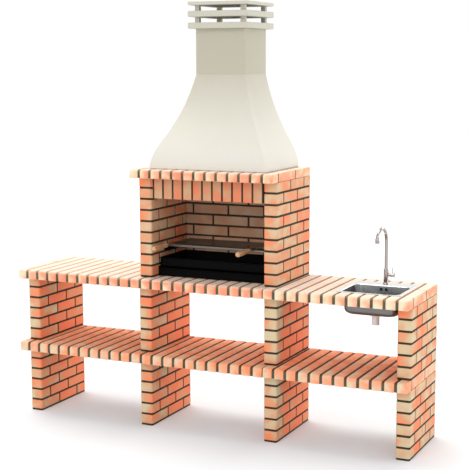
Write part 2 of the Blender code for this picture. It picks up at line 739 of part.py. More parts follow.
def build_cooking_grill(materials, slide):
    """A wire frame with rods welded across it and a tang for each handle."""
    z = WORKTOP_TOP + GRILL_HEIGHT
    front = FRONT + GRILL_SETBACK
    reach = FRAME_WIRE / 2
    low = (grill_left() + reach, front + reach)
    high = (grill_left() + GRILL_WIDTH - reach, front + GRILL_DEPTH - reach)
    frame = bmesh.new()
    add_swept(frame, rounded_ring(low, high, GRILL_CORNER, z), (0, 0, 1), reach, WIRE_SIDES, closed=True)
    grill = make_object("cooking_grill", frame, materials["wire"], slide, smooth=True)
    rods = bmesh.new()
    rod_z = z + reach + GRILL_WIRE / 2 - WELD
    room = high[0] - low[0] - 2 * GRILL_CORNER
    count = round(room / GRILL_WIRE_PITCH) + 1
    for i in range(count):
        x = low[0] + GRILL_CORNER + room * i / (count - 1)
        path = [(x, front + WELD, rod_z), (x, front + GRILL_DEPTH - WELD, rod_z)]
        add_swept(rods, path, (0, 0, 1), GRILL_WIRE / 2, WIRE_SIDES)
    for x in handle_places().values():
        path = [(x, front + reach, z), (x, front - TANG_REACH - TANG_LENGTH, z)]
        add_swept(rods, path, (0, 0, 1), reach, SMALL_SIDES)
    combine(grill, make_helper("grill_rods", rods, slide), "UNION")


def build_grill_handle(side, x, materials, slide):
    """A turned wooden grip, bored from behind for the grill's tang."""
    start = FRONT + GRILL_SETBACK - TANG_REACH
    place = Matrix.Translation((x, start, WORKTOP_TOP + GRILL_HEIGHT)) @ Matrix.Rotation(
        math.pi / 2, 4, "X"
    )
    bore = FRAME_WIRE / 2 + BORE_CLEARANCE
    depth = TANG_LENGTH + BORE_CLEARANCE
    profile = [(bore, depth), (bore, 0), (HANDLE_WAIST, 0), (HANDLE_WAIST, HANDLE_NECK_SHARE * HANDLE_LENGTH)]
    profile.append((HANDLE_RADIUS, HANDLE_GRIP_SHARE * HANDLE_LENGTH))
    profile.append((HANDLE_RADIUS, HANDLE_LENGTH - HANDLE_TIP_RADIUS))
    profile.append((HANDLE_RADIUS - HANDLE_TIP_RADIUS, HANDLE_LENGTH))
    bm = bmesh.new()
    add_turned(bm, profile, place, TUBE_SIDES)
    make_object(f"grill_handle_{side}", bm, materials["wood"], slide, smooth=True)


# Sink


def sink_box():
    """The flange's corners from above."""
    right = RIGHT - SINK_RIGHT_MARGIN
    front = SLAB_FRONT + SINK_FRONT_MARGIN
    return (right - SINK_WIDTH, front), (right, front + SINK_DEPTH)


def bowl_middle():
    low, high = sink_box()
    return (low[0] + high[0]) / 2, low[1] + BOWL_FRONT_RIM + BOWL_DEPTH / 2


def bowl_ring(reach, corner, height):
    """A section of the bowl, reaching out from its mouth, or in where the reach is negative."""
    x, y = bowl_middle()
    half = (BOWL_WIDTH / 2 + reach, BOWL_DEPTH / 2 + reach)
    return rounded_ring((x - half[0], y - half[1]), (x + half[0], y + half[1]), corner, height, CORNER_STEPS)


def bowl_wall(grow):
    """Rings down one face of the bowl's wall to its waste hole. The outer face lies further out and down."""
    top = WORKTOP_TOP + FIT + (0 if grow else SINK_SHEET)
    bottom = WORKTOP_TOP - BOWL_HEIGHT + SINK_SHEET - grow
    rings = [bowl_ring(grow, BOWL_MOUTH_CORNER, top)]
    centre = (grow - BOWL_TAPER - BOWL_BOTTOM_RADIUS, bottom + BOWL_BOTTOM_RADIUS)
    for reach, height in arc(centre, BOWL_BOTTOM_RADIUS, 0, -1, CORNER_STEPS):
        rings.append(bowl_ring(reach, BOWL_CORNER, height))
    x, y = bowl_middle()
    low = (x - WASTE_BORE, y - WASTE_BORE)
    rings.append(rounded_ring(low, (x + WASTE_BORE, y + WASTE_BORE), WASTE_BORE, bottom))
    return rings


def build_sink(materials):
    """The pressed sink: a flange on the worktop and a bowl that hangs through the cut-out."""
    low, high = sink_box()
    bm = bmesh.new()
    bottom = WORKTOP_TOP + FIT
    rings = [rounded_ring(low, high, FLANGE_CORNER, bottom + SINK_SHEET)]
    rings.append(rounded_ring(low, high, FLANGE_CORNER, bottom))
    rings += bowl_wall(SINK_SHEET)
    rings += bowl_wall(0)[::-1]
    add_loft(bm, rings, hollow=True)
    sink = make_object("sink", bm, materials["steel"], smooth=True)
    holes = bmesh.new()
    x, y = bowl_middle()
    back = y + BOWL_DEPTH / 2
    z = bottom + SINK_SHEET - OVERFLOW_DROP
    for side in (-1, 1):
        centre = x + OVERFLOW_OFFSET + side * OVERFLOW_SPACING / 2
        half = OVERFLOW_SIZE / 2
        corner = (centre - half, back - BOWL_TAPER - OVERRUN, z - half)
        add_box(holes, corner, (centre + half, back + OVERRUN, z + half))
    tap_x, tap_y = tap_place()
    radius = SHANK_RADIUS + SHANK_HOLE_CLEARANCE
    place = Matrix.Translation((tap_x, tap_y, bottom - OVERRUN))
    add_turned(holes, [(radius, 0), (radius, SINK_SHEET + 2 * OVERRUN)], place, SMALL_SIDES)
    combine(sink, make_helper("sink_hole_cutter", holes), "DIFFERENCE")


def build_sink_cutout(pieces):
    """The cut-out in the worktop, a little larger than the bowl and hidden by the flange."""
    low, high = sink_box()
    x, y = bowl_middle()
    half = BOWL_WIDTH / 2 + CUTOUT_SIDE
    front = y - BOWL_DEPTH / 2 - CUTOUT_SIDE
    bm = bmesh.new()
    corner = (x - half, front, WORKTOP_BASE - OVERRUN)
    add_box(bm, corner, (x + half, high[1] - CUTOUT_BACK, WORKTOP_TOP + OVERRUN))
    cutter = make_helper("sink_cutout_cutter", bm)
    for piece in pieces:
        combine(piece, cutter, "DIFFERENCE")


def build_waste(materials):
    """The plastic waste under the bowl: a collar that narrows to a tailpiece."""
    x, y = bowl_middle()
    bottom = WORKTOP_TOP - BOWL_HEIGHT - FIT
    place = Matrix.Translation((x, y, bottom))
    profile = [(WASTE_BORE, 0), (WASTE_COLLAR, 0), (WASTE_COLLAR, -WASTE_COLLAR_HEIGHT)]
    neck = -WASTE_COLLAR_HEIGHT - WASTE_CONE_HEIGHT
    profile += [(WASTE_RADIUS, neck), (WASTE_RADIUS, -WASTE_LENGTH)]
    profile.append((WASTE_BORE, -WASTE_LENGTH))
    bm = bmesh.new()
    add_turned(bm, profile, place, bored=True)
    make_object("sink_waste", bm, materials["plastic"], smooth=True)


def build_strainer(materials, lift):
    """The strainer that lifts out of the waste: a rimmed cup with holes and a knob."""
    x, y = bowl_middle()
    place = Matrix.Translation((x, y, WORKTOP_TOP - BOWL_HEIGHT + SINK_SHEET + FIT))
    floor = -STRAINER_CUP_DEPTH
    profile = [(STRAINER_CUP_RADIUS - STRAINER_SHEET, floor), (STRAINER_CUP_RADIUS, floor + STRAINER_SHEET)]
    profile += [(STRAINER_CUP_RADIUS, 0), (STRAINER_RADIUS, 0), (STRAINER_RADIUS, STRAINER_SHEET)]
    inner = STRAINER_CUP_RADIUS - STRAINER_SHEET
    profile += [(inner, STRAINER_SHEET), (inner, floor + STRAINER_SHEET)]
    profile += [(STRAINER_KNOB_RADIUS, floor + STRAINER_SHEET), (STRAINER_KNOB_RADIUS, STRAINER_KNOB_HEIGHT)]
    bm = bmesh.new()
    add_turned(bm, profile, place)
    strainer = make_object("sink_strainer", bm, materials["steel"], lift, smooth=True)
    holes = bmesh.new()
    ring = (STRAINER_KNOB_RADIUS + inner) / 2
    for i in range(STRAINER_HOLES):
        turn = math.tau * i / STRAINER_HOLES
        offset = Vector((ring * math.cos(turn), ring * math.sin(turn), floor - OVERRUN))
        profile = [(STRAINER_HOLE_RADIUS, 0), (STRAINER_HOLE_RADIUS, STRAINER_SHEET + 2 * OVERRUN)]
        add_turned(holes, profile, place @ Matrix.Translation(offset), WIRE_SIDES)
    combine(strainer, make_helper("strainer_hole_cutter", holes, lift), "DIFFERENCE")


# Tap


def tap_place():
    low, high = sink_box()
    return bowl_middle()[0] + TAP_SIDE_OFFSET, high[1] - TAP_BACK_MARGIN


def build_tap_base(materials):
    """A base ring on the flange, the body over it, and a nut that draws them down from below."""
    x, y = tap_place()
    flange_top = WORKTOP_TOP + FIT + SINK_SHEET
    place = Matrix.Translation((x, y, flange_top + FIT))
    bore = SHANK_RADIUS + SHANK_HOLE_CLEARANCE
    ring = bmesh.new()
    profile = [(bore, 0), (TAP_BASE_RADIUS, 0), (TAP_BASE_RADIUS, TAP_BASE_HEIGHT / 2)]
    profile += [(TAP_BODY_RADIUS, TAP_BASE_HEIGHT), (bore, TAP_BASE_HEIGHT)]
    add_turned(ring, profile, place, bored=True)
    make_object("tap_base_ring", ring, materials["chrome"], smooth=True)

    body = bmesh.new()
    start = TAP_BASE_HEIGHT + FIT
    end = start + TAP_BODY_HEIGHT
    profile = [(SHANK_RADIUS, -SHANK_LENGTH), (SHANK_RADIUS, start), (TAP_BODY_RADIUS, start)]
    profile.append((TAP_BODY_RADIUS, end))
    add_turned(body, profile, place)
    make_object("tap_body", body, materials["chrome"], smooth=True)

    nut = bmesh.new()
    top = -SINK_SHEET - 3 * FIT
    bottom = top - NUT_HEIGHT
    profile = [(bore, bottom), (NUT_RADIUS, bottom), (NUT_RADIUS, top), (bore, top)]
    add_turned(nut, profile, place, ROUND_SIDES, bored=True)
    make_object("tap_shank_nut", nut, materials["chrome"])


def spout_base():
    x, y = tap_place()
    return Vector((x, y, WORKTOP_TOP + SINK_SHEET + TAP_BASE_HEIGHT + TAP_BODY_HEIGHT + 4 * FIT))


def build_spout(materials, swivel):
    """The swan neck, whose tip bends down, and the aerator on its end."""
    base = spout_base()
    x, y, z = base
    neck = bmesh.new()
    turn = 2 * SPOUT_TURN_SHARE
    centre = Vector((y - SPOUT_ARC, z + SPOUT_RISE))
    outward = Vector(arc((0, 0), SPOUT_ARC - SPOUT_TIP_BEND, turn, turn, 1)[0])
    tip_centre = centre + outward
    bends = arc(centre, SPOUT_ARC, 0, turn, SPOUT_STEPS)
    bends += arc(tip_centre, SPOUT_TIP_BEND, turn, 2, CORNER_STEPS)[1:]
    end_y = tip_centre.x - SPOUT_TIP_BEND
    end_z = tip_centre.y - SPOUT_DROP
    path = [(x, y, z)] + [(x, u, v) for u, v in bends] + [(x, end_y, end_z)]
    add_swept(neck, path, (1, 0, 0), SPOUT_RADIUS, TUBE_SIDES)
    make_object("tap_spout", neck, materials["chrome"], swivel, smooth=True)
    tip = bmesh.new()
    place = Matrix.Translation((x, end_y, end_z - FIT))
    profile = [(AERATOR_RADIUS, 0), (AERATOR_RADIUS, -AERATOR_HEIGHT)]
    add_turned(tip, profile, place, TUBE_SIDES)
    make_object("tap_aerator", tip, materials["chrome"], swivel, smooth=True)


def valve_place():
    """Where the side valve leaves the tap's body, pointing along +X."""
    x, y = tap_place()
    z = WORKTOP_TOP + SINK_SHEET + TAP_BASE_HEIGHT + VALVE_HEIGHT
    return Vector((x + TAP_BODY_RADIUS + FIT, y, z))


def build_valve(materials, turn):
    """The valve's neck, and the handle that turns on it with its lever."""
    along = Matrix.Translation(valve_place()) @ Matrix.Rotation(math.pi / 2, 4, "Y")
    neck = bmesh.new()
    add_turned(neck, [(VALVE_RADIUS, 0), (VALVE_RADIUS, VALVE_LENGTH)], along, TUBE_SIDES)
    make_object("tap_valve_neck", neck, materials["chrome"], smooth=True)

    cap = bmesh.new()
    start = VALVE_LENGTH + FIT
    profile = [(TAP_HANDLE_RADIUS, start), (TAP_HANDLE_RADIUS, start + TAP_HANDLE_LENGTH)]
    add_turned(cap, profile, along, TUBE_SIDES)
    handle = make_object("tap_handle", cap, materials["chrome"], turn, smooth=True)

    foot = valve_place() + Vector((start + LEVER_SEAT, 0, TAP_HANDLE_RADIUS / 2))
    hole = bmesh.new()
    radius = LEVER_RADIUS + FIT
    add_turned(hole, [(radius, 0), (radius, TAP_HANDLE_RADIUS)], Matrix.Translation(foot), SMALL_SIDES)
    combine(handle, make_helper("lever_hole_cutter", hole, turn), "DIFFERENCE")
    lever = bmesh.new()
    place = Matrix.Translation(foot + Vector((0, 0, FIT)))
    add_turned(lever, [(LEVER_RADIUS, 0), (LEVER_RADIUS, LEVER_LENGTH)], place, SMALL_SIDES)
    make_object("tap_lever", lever, materials["chrome"], turn, smooth=True)


def build_masonry(materials):
    for number, left in enumerate((PIER_1, PIER_2, PIER_3, PIER_4), 1):
        build_pier(number, left, materials)
    build_counter("shelf", SHELF_BASE, materials)
    worktop = build_counter("worktop", WORKTOP_BASE, materials)
    build_sink_cutout(worktop["right"])
    build_firebox(materials)
    build_lintel(materials)
    build_top_slab(materials)
    build_hood(materials)
    build_flue(materials)
    build_cap(materials)


def build_fire(materials):
    grill_z = WORKTOP_TOP + GRILL_HEIGHT
    tray_z = WORKTOP_TOP + STAND_HEIGHT
    front = FRONT + TRAY_FRONT_SETBACK
    middle = (CAVITY_LEFT + CAVITY_RIGHT) / 2
    build_tray_stand(materials)
    build_charcoal_tray(materials, make_pivot("charcoal_tray_slide", (middle, front, tray_z)))
    build_ash_drawer(materials, make_pivot("ash_drawer_slide", (middle, front, WORKTOP_TOP)))
    build_grill_supports(materials)
    build_cross_bars(materials)
    slide = make_pivot("grill_slide", (middle, FRONT + GRILL_SETBACK, grill_z))
    build_cooking_grill(materials, slide)
    for side, x in handle_places().items():
        build_grill_handle(side, x, materials, slide)


def build_water(materials):
    x, y = bowl_middle()
    build_sink(materials)
    build_waste(materials)
    build_strainer(materials, make_pivot("strainer_lift", (x, y, WORKTOP_TOP - BOWL_HEIGHT)))
    build_tap_base(materials)
    build_spout(materials, make_pivot("spout_swivel", spout_base()))
    build_valve(materials, make_pivot("tap_handle_turn", valve_place()))


def main():
    clear_scene()
    materials = make_materials()
    build_masonry(materials)
    build_fire(materials)
    build_water(materials)


main()
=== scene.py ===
# %% [markdown]
# # Outdoor masonry barbecue
# This lesson dresses a garden barbecue of brick, tile and concrete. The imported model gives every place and
# size, and stays as the fixed frame. Each step adds what the eye expects: single bricks in their mortar,
# rounded tile noses, a smooth concrete hood, folded black steel, a wire grill, a pressed sink and a chrome
# tap.

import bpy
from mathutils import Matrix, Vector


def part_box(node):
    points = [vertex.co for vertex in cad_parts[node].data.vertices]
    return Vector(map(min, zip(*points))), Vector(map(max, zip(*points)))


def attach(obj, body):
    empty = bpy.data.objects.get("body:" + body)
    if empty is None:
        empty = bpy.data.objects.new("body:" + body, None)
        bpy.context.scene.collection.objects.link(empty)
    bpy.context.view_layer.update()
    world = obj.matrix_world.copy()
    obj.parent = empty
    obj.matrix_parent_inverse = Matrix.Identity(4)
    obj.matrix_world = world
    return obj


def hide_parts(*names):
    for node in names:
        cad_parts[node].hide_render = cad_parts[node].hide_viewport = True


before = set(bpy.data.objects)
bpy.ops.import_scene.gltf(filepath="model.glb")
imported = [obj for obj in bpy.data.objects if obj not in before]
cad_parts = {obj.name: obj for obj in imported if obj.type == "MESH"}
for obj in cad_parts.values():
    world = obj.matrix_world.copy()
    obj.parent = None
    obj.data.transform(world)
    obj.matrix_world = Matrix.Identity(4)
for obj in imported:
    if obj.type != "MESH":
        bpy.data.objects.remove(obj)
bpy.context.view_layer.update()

# %% Modules and small helpers
import math
from functools import partial

import bmesh
import bpy
from mathutils import Matrix, Vector

MM = 0.001
UP = (0, 0, 1)
scene = bpy.context.scene


def colour(code):
    """The linear colour that a shader wants for an sRGB hex value."""
    channels = [int(code[i : i + 2], 16) / 255 for i in (0, 2, 4)]
    return (*[c / 12.92 if c <= 0.04045 else ((c + 0.055) / 1.055) ** 2.4 for c in channels], 1.0)


def set_inputs(node, inputs):
    """Sets or links inputs, by name or in their order. A node as a value stands for its first output."""
    for key, value in inputs.items() if isinstance(inputs, dict) else enumerate(inputs):
        value = value.outputs[0] if isinstance(value, bpy.types.Node) else value
        if isinstance(value, bpy.types.NodeSocket):
            node.id_data.links.new(value, node.inputs[key])
        else:
            node.inputs[key].default_value = value


def add_node(tree, kind, inputs=(), **settings):
    """Adds one node with its properties and inputs. A kind without a family is a shader node."""
    node = tree.nodes.new(kind if "Node" in kind else "ShaderNode" + kind)
    for name, value in settings.items():
        setattr(node, name, value)
    set_inputs(node, inputs)
    return node


def new_material(name):
    """A new material, what adds a node to it, and its shader."""
    material = bpy.data.materials.new(name)
    material.use_nodes = True
    tree = material.node_tree
    return material, partial(add_node, tree), tree.nodes["Principled BSDF"]


def add_object(name, data):
    """Puts a new object into the scene."""
    obj = bpy.data.objects.new(name, data)
    scene.collection.objects.link(obj)
    return obj


print("white for a shader is", colour("FFFFFF"))

# %% [markdown]
# ## Camera
# The photograph was taken from the right and a little above. The camera could be turned by eye until the
# picture fits. Its perspective was solved from the brick courses instead, so its place, turn and lens are
# numbers and not a guess.

# %% Camera
CAMERA_PLACE = Vector((2.9074, -6.0836, 2.0341))
YAW = math.radians(24.906)
PITCH = math.radians(7.953)
ROLL = math.radians(-0.115)
SENSOR_WIDTH = 36
FOCAL_LENGTH = 92.536
FARTHEST = 60

forward = Vector((-math.sin(YAW) * math.cos(PITCH), math.cos(YAW) * math.cos(PITCH), -math.sin(PITCH)))
level = Vector((math.cos(YAW), math.sin(YAW), 0))
upright = level.cross(forward)
side = math.cos(ROLL) * level + math.sin(ROLL) * upright
top = math.cos(ROLL) * upright - math.sin(ROLL) * level

lens = bpy.data.cameras.new("camera")
lens.sensor_width = SENSOR_WIDTH
lens.lens = FOCAL_LENGTH
lens.clip_end = FARTHEST
camera = add_object("camera", lens)
camera.matrix_world = Matrix.Translation(CAMERA_PLACE) @ Matrix((side, top, -forward)).transposed().to_4x4()
scene.camera = camera
scene.view_settings.view_transform = "Standard"
print("camera looks along", [round(v, 3) for v in forward])

# %% [markdown]
# ## Studio
# A catalogue picture is lit by a wide, even sky. Area lamps round the object could do that too, but suns
# reach every piece with the same strength. The shadow lies in front of the piers and to the right, so the
# lamp stands high at the back left. A second one keeps the front bright, and two low ones behind, one of
# them to the right, shine through the bays. To the camera, and in gloss, the surroundings are white.

# %% Light and floor
DOME_STRENGTH = 0.74
FLOOR_REACH = 30
FLOOR_GLOW = 0.08
WHITE = (1, 1, 1, 1)
# Azimuth (0 shines from the front, and 90 from the right), elevation, strength, softness and tint
SUNS = {"key": (-125, 70, 1.6, 40, "FFFCF6"), "fill": (-5, 30, 0.8, 35, "FFFDFA"),
        "low_light": (118, 7, 0.9, 30, "FFFDFA"), "back_light": (168, 18, 0.6, 30, "FFFDFA")}

world = bpy.data.worlds.new("studio")
scene.world = world
world.use_nodes = True
world.node_tree.nodes.clear()
add = partial(add_node, world.node_tree)
ray = add("LightPath").outputs
seen = ray["Is Camera Ray"]
for other in ("Is Glossy Ray", "Is Transmission Ray"):
    seen = add("Math", (seen, ray[other]), operation="MAXIMUM")
dome = add("Background", (colour("FAFBFF"), DOME_STRENGTH))
white = add("Background", (WHITE, 1.0))
add("OutputWorld", (add("MixShader", (seen, dome, white)),))

for name, (azimuth, elevation, strength, softness, tint) in SUNS.items():
    lamp = bpy.data.lights.new(name, "SUN")
    lamp.energy = strength
    lamp.angle = math.radians(softness)
    lamp.color = colour(tint)[:3]
    a, e = math.radians(azimuth), math.radians(elevation)
    source = Vector((math.sin(a) * math.cos(e), -math.cos(a) * math.cos(e), math.sin(e)))
    add_object(name, lamp).rotation_euler = source.to_track_quat("Z", "Y").to_euler()

floor_mesh = bpy.data.meshes.new("floor")
corners = [(x * FLOOR_REACH, y * FLOOR_REACH, 0) for x, y in ((-1, -1), (1, -1), (1, 1), (-1, 1))]
floor_mesh.from_pydata(corners, [], [(0, 1, 2, 3)])
add_object("floor", floor_mesh)
# Matt white card. To the camera it glows a little, so that it runs into the white behind
card, add, shader = new_material("studio_floor")
shader.id_data.nodes.clear()
matte = add("BsdfDiffuse", (colour("E8EAEC"),))
lift = add("Math", (add("LightPath").outputs["Is Camera Ray"], FLOOR_GLOW), operation="MULTIPLY")
both = add("AddShader", (matte, add("Emission", (WHITE, lift))))
add("OutputMaterial", (both,))
floor_mesh.materials.append(card)
print("lamps", list(SUNS))

# %% [markdown]
# ## Mesh helpers
# Most pieces here are one of three kinds: a loft through rings of points, a profile turned on a lathe, or a
# round section swept along a path. Curve objects and a Screw modifier could make them as well. These few
# functions make plain meshes at once, with true places in metres, so nothing has to be converted later.

# %% Mesh helpers
MERGE = 0.01 * MM


def finish_mesh(name, bm, material, smooth_angle=35):
    """Turns a bmesh into an object at the origin, with merged points and outward faces."""
    bmesh.ops.remove_doubles(bm, verts=bm.verts, dist=MERGE)
    bmesh.ops.recalc_face_normals(bm, faces=bm.faces)
    mesh = bpy.data.meshes.new(name)
    bm.to_mesh(mesh)
    bm.free()
    if smooth_angle:
        mesh.shade_smooth()
        mesh.set_sharp_from_angle(angle=math.radians(smooth_angle))
    mesh.materials.append(material)
    return add_object(name, mesh)


def add_loft(bm, rings, hollow=False):
    """Joins rings of as many points each. A hollow loft also joins the last ring to the first."""
    loops = [[bm.verts.new(point) for point in ring] for ring in rings]
    pairs = list(zip(loops, loops[1:]))
    if hollow:
        pairs.append((loops[-1], loops[0]))
    else:
        bm.faces.new(loops[0])
        bm.faces.new(loops[-1])
    for a, b in pairs:
        for i in range(len(a)):
            bm.faces.new((a[i - 1], a[i], b[i], b[i - 1]))


def loft_piece(name, rings, material, smooth_angle=30, hollow=False):
    """A piece that is a single loft."""
    bm = bmesh.new()
    add_loft(bm, rings, hollow)
    return finish_mesh(name, bm, material, smooth_angle)


def arc(centre, radius, start, end, steps):
    """Points on an arc, its angles in quarter turns."""
    angles = [math.radians(90 * (start + (end - start) * i / steps)) for i in range(steps + 1)]
    return [(centre[0] + radius * math.cos(a), centre[1] + radius * math.sin(a)) for a in angles]


def rounded_ring(low, high, radius, height, steps=8):
    """A level rectangle with rounded corners."""
    x0, y0 = low[0] + radius, low[1] + radius
    x1, y1 = high[0] - radius, high[1] - radius
    centres = ((x1, y1), (x0, y1), (x0, y0), (x1, y0))
    return [Vector((x, y, height)) for i, c in enumerate(centres) for x, y in arc(c, radius, i, i + 1, steps)]


def add_turned(bm, profile, place, sides=32, bored=False):
    """Turns (radius, height) points about Z, then puts them in place."""
    turns = [math.tau * i / sides for i in range(sides)]
    rings = [[place @ Vector((r * math.cos(t), r * math.sin(t), h)) for t in turns] for r, h in profile]
    add_loft(bm, rings, bored)


def add_swept(bm, points, normal, radius, sides, closed=False):
    """Sweeps a round section along a path that lies in the plane square to the normal."""
    normal = Vector(normal)
    points = [Vector(point) for point in points]
    rings = []
    for i, point in enumerate(points):
        before = points[i - 1] if closed or i else point
        after = points[(i + 1) % len(points)] if closed or i < len(points) - 1 else point
        along = (after - before).normalized()
        first = (point - before).normalized() if point != before else along
        across = normal.cross(along) / along.dot(first)
        turns = [math.tau * k / sides for k in range(sides)]
        rings.append([point + radius * (across * math.cos(t) + normal * math.sin(t)) for t in turns])
    add_loft(bm, rings, closed)


def join(target, *others):
    """Joins finished pieces to one mesh with their materials."""
    with bpy.context.temp_override(active_object=target, selected_editable_objects=[target, *others]):
        bpy.ops.object.join()
    return target


def keep_result(obj, modifier):
    """Keeps what a modifier makes of an object as its plain mesh."""
    bpy.context.view_layer.update()
    evaluated = obj.evaluated_get(bpy.context.evaluated_depsgraph_get())
    mesh = bpy.data.meshes.new_from_object(evaluated)
    obj.modifiers.remove(modifier)
    obj.data = mesh


def cut_away(obj, cutter):
    """Cuts a helper's shape out of a piece for good, and removes the helper."""
    boolean = obj.modifiers.new("cut", "BOOLEAN")
    boolean.object = cutter
    boolean.operation = "DIFFERENCE"
    boolean.solver = "EXACT"
    boolean.use_self = True
    keep_result(obj, boolean)
    bpy.data.objects.remove(cutter)


def place_piece(piece, node, body="barbecue"):
    """Puts a piece on the body that it rides on, and hides the node that it stands for."""
    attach(piece, body)
    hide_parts(node)


print("points nearer than", MERGE, "m are merged")

# %% [markdown]
# ## Fired clay
# The bricks are soft-mud clay bricks with a flamed face: in the kiln, air and reduction leave clouds of
# cream on orange. That gives the eye large soft patches from brick to brick, a fine sandy grain, and no
# gloss. One pattern over the whole wall would be simple, but it would run on across the joints. So the
# patches are read from each brick's own place and its own draw. A lean lets the cream run out along the
# brick, as it does where one end lay nearer to the flame.

# %% Clay materials
# A pattern's scale is the number of its grains in a metre. Nearly all values of a noise lie in this range
NOISE_RANGE = (0.3, 0.7)
DRAW_SHIFT = (7.3, 3.1, 5.7)
CLOUD_SPREAD = 0.34
BATCH_SPREAD = 0.12
# Sand of under 1 mm is too fine to show, so it is drawn 2.4 mm wide. Pits lie 9 mm apart
SAND_SCALE = 420.0
PIT_SCALE = 110.0
BRICK_PATCH = 90 * MM
TILE_PATCH = 60 * MM
FLAMED = ((0.0, "FF8A5D"), (0.3, "F59669"), (0.5, "E4A47B"), (0.72, "E0B891"), (1.0, "DBC9A2"))
# The shelf tiles' ramp is brighter than the walls': painted light where the worktop shades the shelf
SHELF_LIT_STOPS = ((0.0, "FF9262"), (0.3, "FFA678"), (0.5, "F8B08A"), (0.72, "F0C4A0"), (1.0, "E8D4B0"))
LINTEL_FLAMED = ((0.0, "E8805A"), (0.3, "DF8A64"), (0.5, "D4966F"), (1.0, "CCB088"))
# The firebox's back wall is browner and darker than the walls: painted shade inside the firebox
BACK_WALL_SHADE_STOPS = ((0.0, "C98A6A"), (0.5, "D0A07E"), (1.0, "D2B494"))
# The worktops' and top slab's ramp is paler than the walls': painted light
TOP_LIT_TILE_STOPS = ((0.0, "F6946F"), (0.3, "F9A681"), (0.5, "F9B892"), (0.75, "F8D2AB"), (1.0, "F4E3C4"))


def fill_ramp(ramp, stops):
    """Gives a colour ramp its (share, hex) stops."""
    elements = ramp.color_ramp.elements
    for i, (at, code) in enumerate(stops):
        stop = elements[i] if i < 2 else elements.new(at)
        stop.position = at
        stop.color = colour(code)


def finish_material(add, shader, base, roughness, height, strength, depth):
    """Gives a material its colour, its roughness, and the relief of a height."""
    bump = add("Bump", {"Height": height, "Strength": strength, "Distance": depth})
    set_inputs(shader, {"Base Color": base, "Roughness": roughness, "Normal": bump})


def make_clay(name, stops, patch_size, bleach=0.0):
    """Fired clay. Its stops run from well-fired orange to cream. The last argument pales the upper face
    towards cream, a painted light from above.
    """
    material, add, shader = new_material(name)
    place, tone, lean, draw = [add("Attribute", attribute_name=label).outputs
                               for label in ("place", "tone", "lean", "draw")]
    shift = add("VectorMath", (draw["Fac"], DRAW_SHIFT), operation="MULTIPLY")
    own = add("VectorMath", (place["Vector"], shift), operation="ADD")
    cloud = add("TexNoise", {"Vector": own, "Scale": 1 / patch_size, "Detail": 1.5, "Roughness": 0.5,
                             "Distortion": 0.4})
    share = add("MapRange", (cloud, *NOISE_RANGE, -CLOUD_SPREAD, CLOUD_SPREAD))
    batch = add("MapRange", (draw["Fac"], 0.0, 1.0, -BATCH_SPREAD, BATCH_SPREAD))
    run = add("VectorMath", (place["Vector"], lean["Vector"]), operation="DOT_PRODUCT")
    for part in (tone["Fac"], batch, run.outputs["Value"]):
        share = add("Math", (share, part), operation="ADD")
    base = add("ValToRGB", (share,))
    fill_ramp(base, stops)
    # Painted light: faces that look up are paled towards cream
    if bleach:
        up = add("SeparateXYZ", (add("NewGeometry").outputs["Normal"],)).outputs["Z"]
        wear_and_top_light = add("MapRange", (up, 0.3, 1.0, 0.0, bleach))
        base = add("Mix", {0: wear_and_top_light, 6: base, 7: colour("EEE2D0")}, data_type="RGBA").outputs[2]
    # Sand makes the face grainy, and the deepest of the pits get a darker brown: painted shade in the pits
    grain = add("TexNoise", {"Vector": own, "Scale": SAND_SCALE, "Detail": 3.0})
    shade = add("MapRange", (grain, *NOISE_RANGE, 0.92, 1.04))
    base = add("Mix", {0: 1.0, 6: base, 7: shade}, data_type="RGBA", blend_type="MULTIPLY").outputs[2]
    pits = add("TexNoise", {"Vector": own, "Scale": PIT_SCALE, "Detail": 2.0})
    painted_pit_shade = add("MapRange", (pits, 0.66, 0.76, 0.0, 0.25))
    base = add("Mix", {0: painted_pit_shade, 6: base, 7: colour("A8664A")}, data_type="RGBA").outputs[2]
    rough = add("MapRange", (grain, 0.0, 1.0, 0.72, 0.96))
    height = add("Math", (pits, 1.5, grain), operation="MULTIPLY_ADD")
    finish_material(add, shader, base, rough, height, 0.4, 0.5 * MM)
    return material


def make_mortar(name, dark, pale, above=None):
    """Cement mortar: sand grains of 2 mm in grey cement with clouds of 55 mm, struck back from the face and
    quite matt. Above is the colour of its upper face: painted light on the lit decks, and painted shade on
    the shelves under the worktop."""
    material, add, shader = new_material(name)
    where = add("TexCoord").outputs["Object"]
    grain = add("TexNoise", {"Vector": where, "Scale": 500.0, "Detail": 2.0})
    patch = add("TexNoise", {"Vector": where, "Scale": 18.0, "Detail": 2.0})
    part = add("MapRange", (add("Math", (grain, patch), operation="MULTIPLY"), 0.12, 0.42))
    base = add("Mix", {0: part, 6: colour(dark), 7: colour(pale)}, data_type="RGBA").outputs[2]
    if above:
        up = add("SeparateXYZ", (add("NewGeometry").outputs["Normal"],)).outputs["Z"]
        base = add("Mix", {0: up, 6: base, 7: colour(above)}, data_type="RGBA").outputs[2]
    finish_material(add, shader, base, 0.95, grain, 0.7, 0.8 * MM)
    return material


# Moulded and fired: matt and sandy. Walls are orange and cream and the lintel darker. Shelf tiles are
# brighter, a painted light under the worktop's shade, and the back of the firebox browner and darker, a
# painted shade inside the firebox
brick_clay = make_clay("flamed_clay_brick", FLAMED, BRICK_PATCH)
lit_shelf_clay = make_clay("clay_shelf_tile", SHELF_LIT_STOPS, TILE_PATCH)
lintel_clay = make_clay("lintel_clay_brick", LINTEL_FLAMED, BRICK_PATCH)
shaded_back_wall_clay = make_clay("painted_shade_back_wall_brick", BACK_WALL_SHADE_STOPS, BRICK_PATCH)
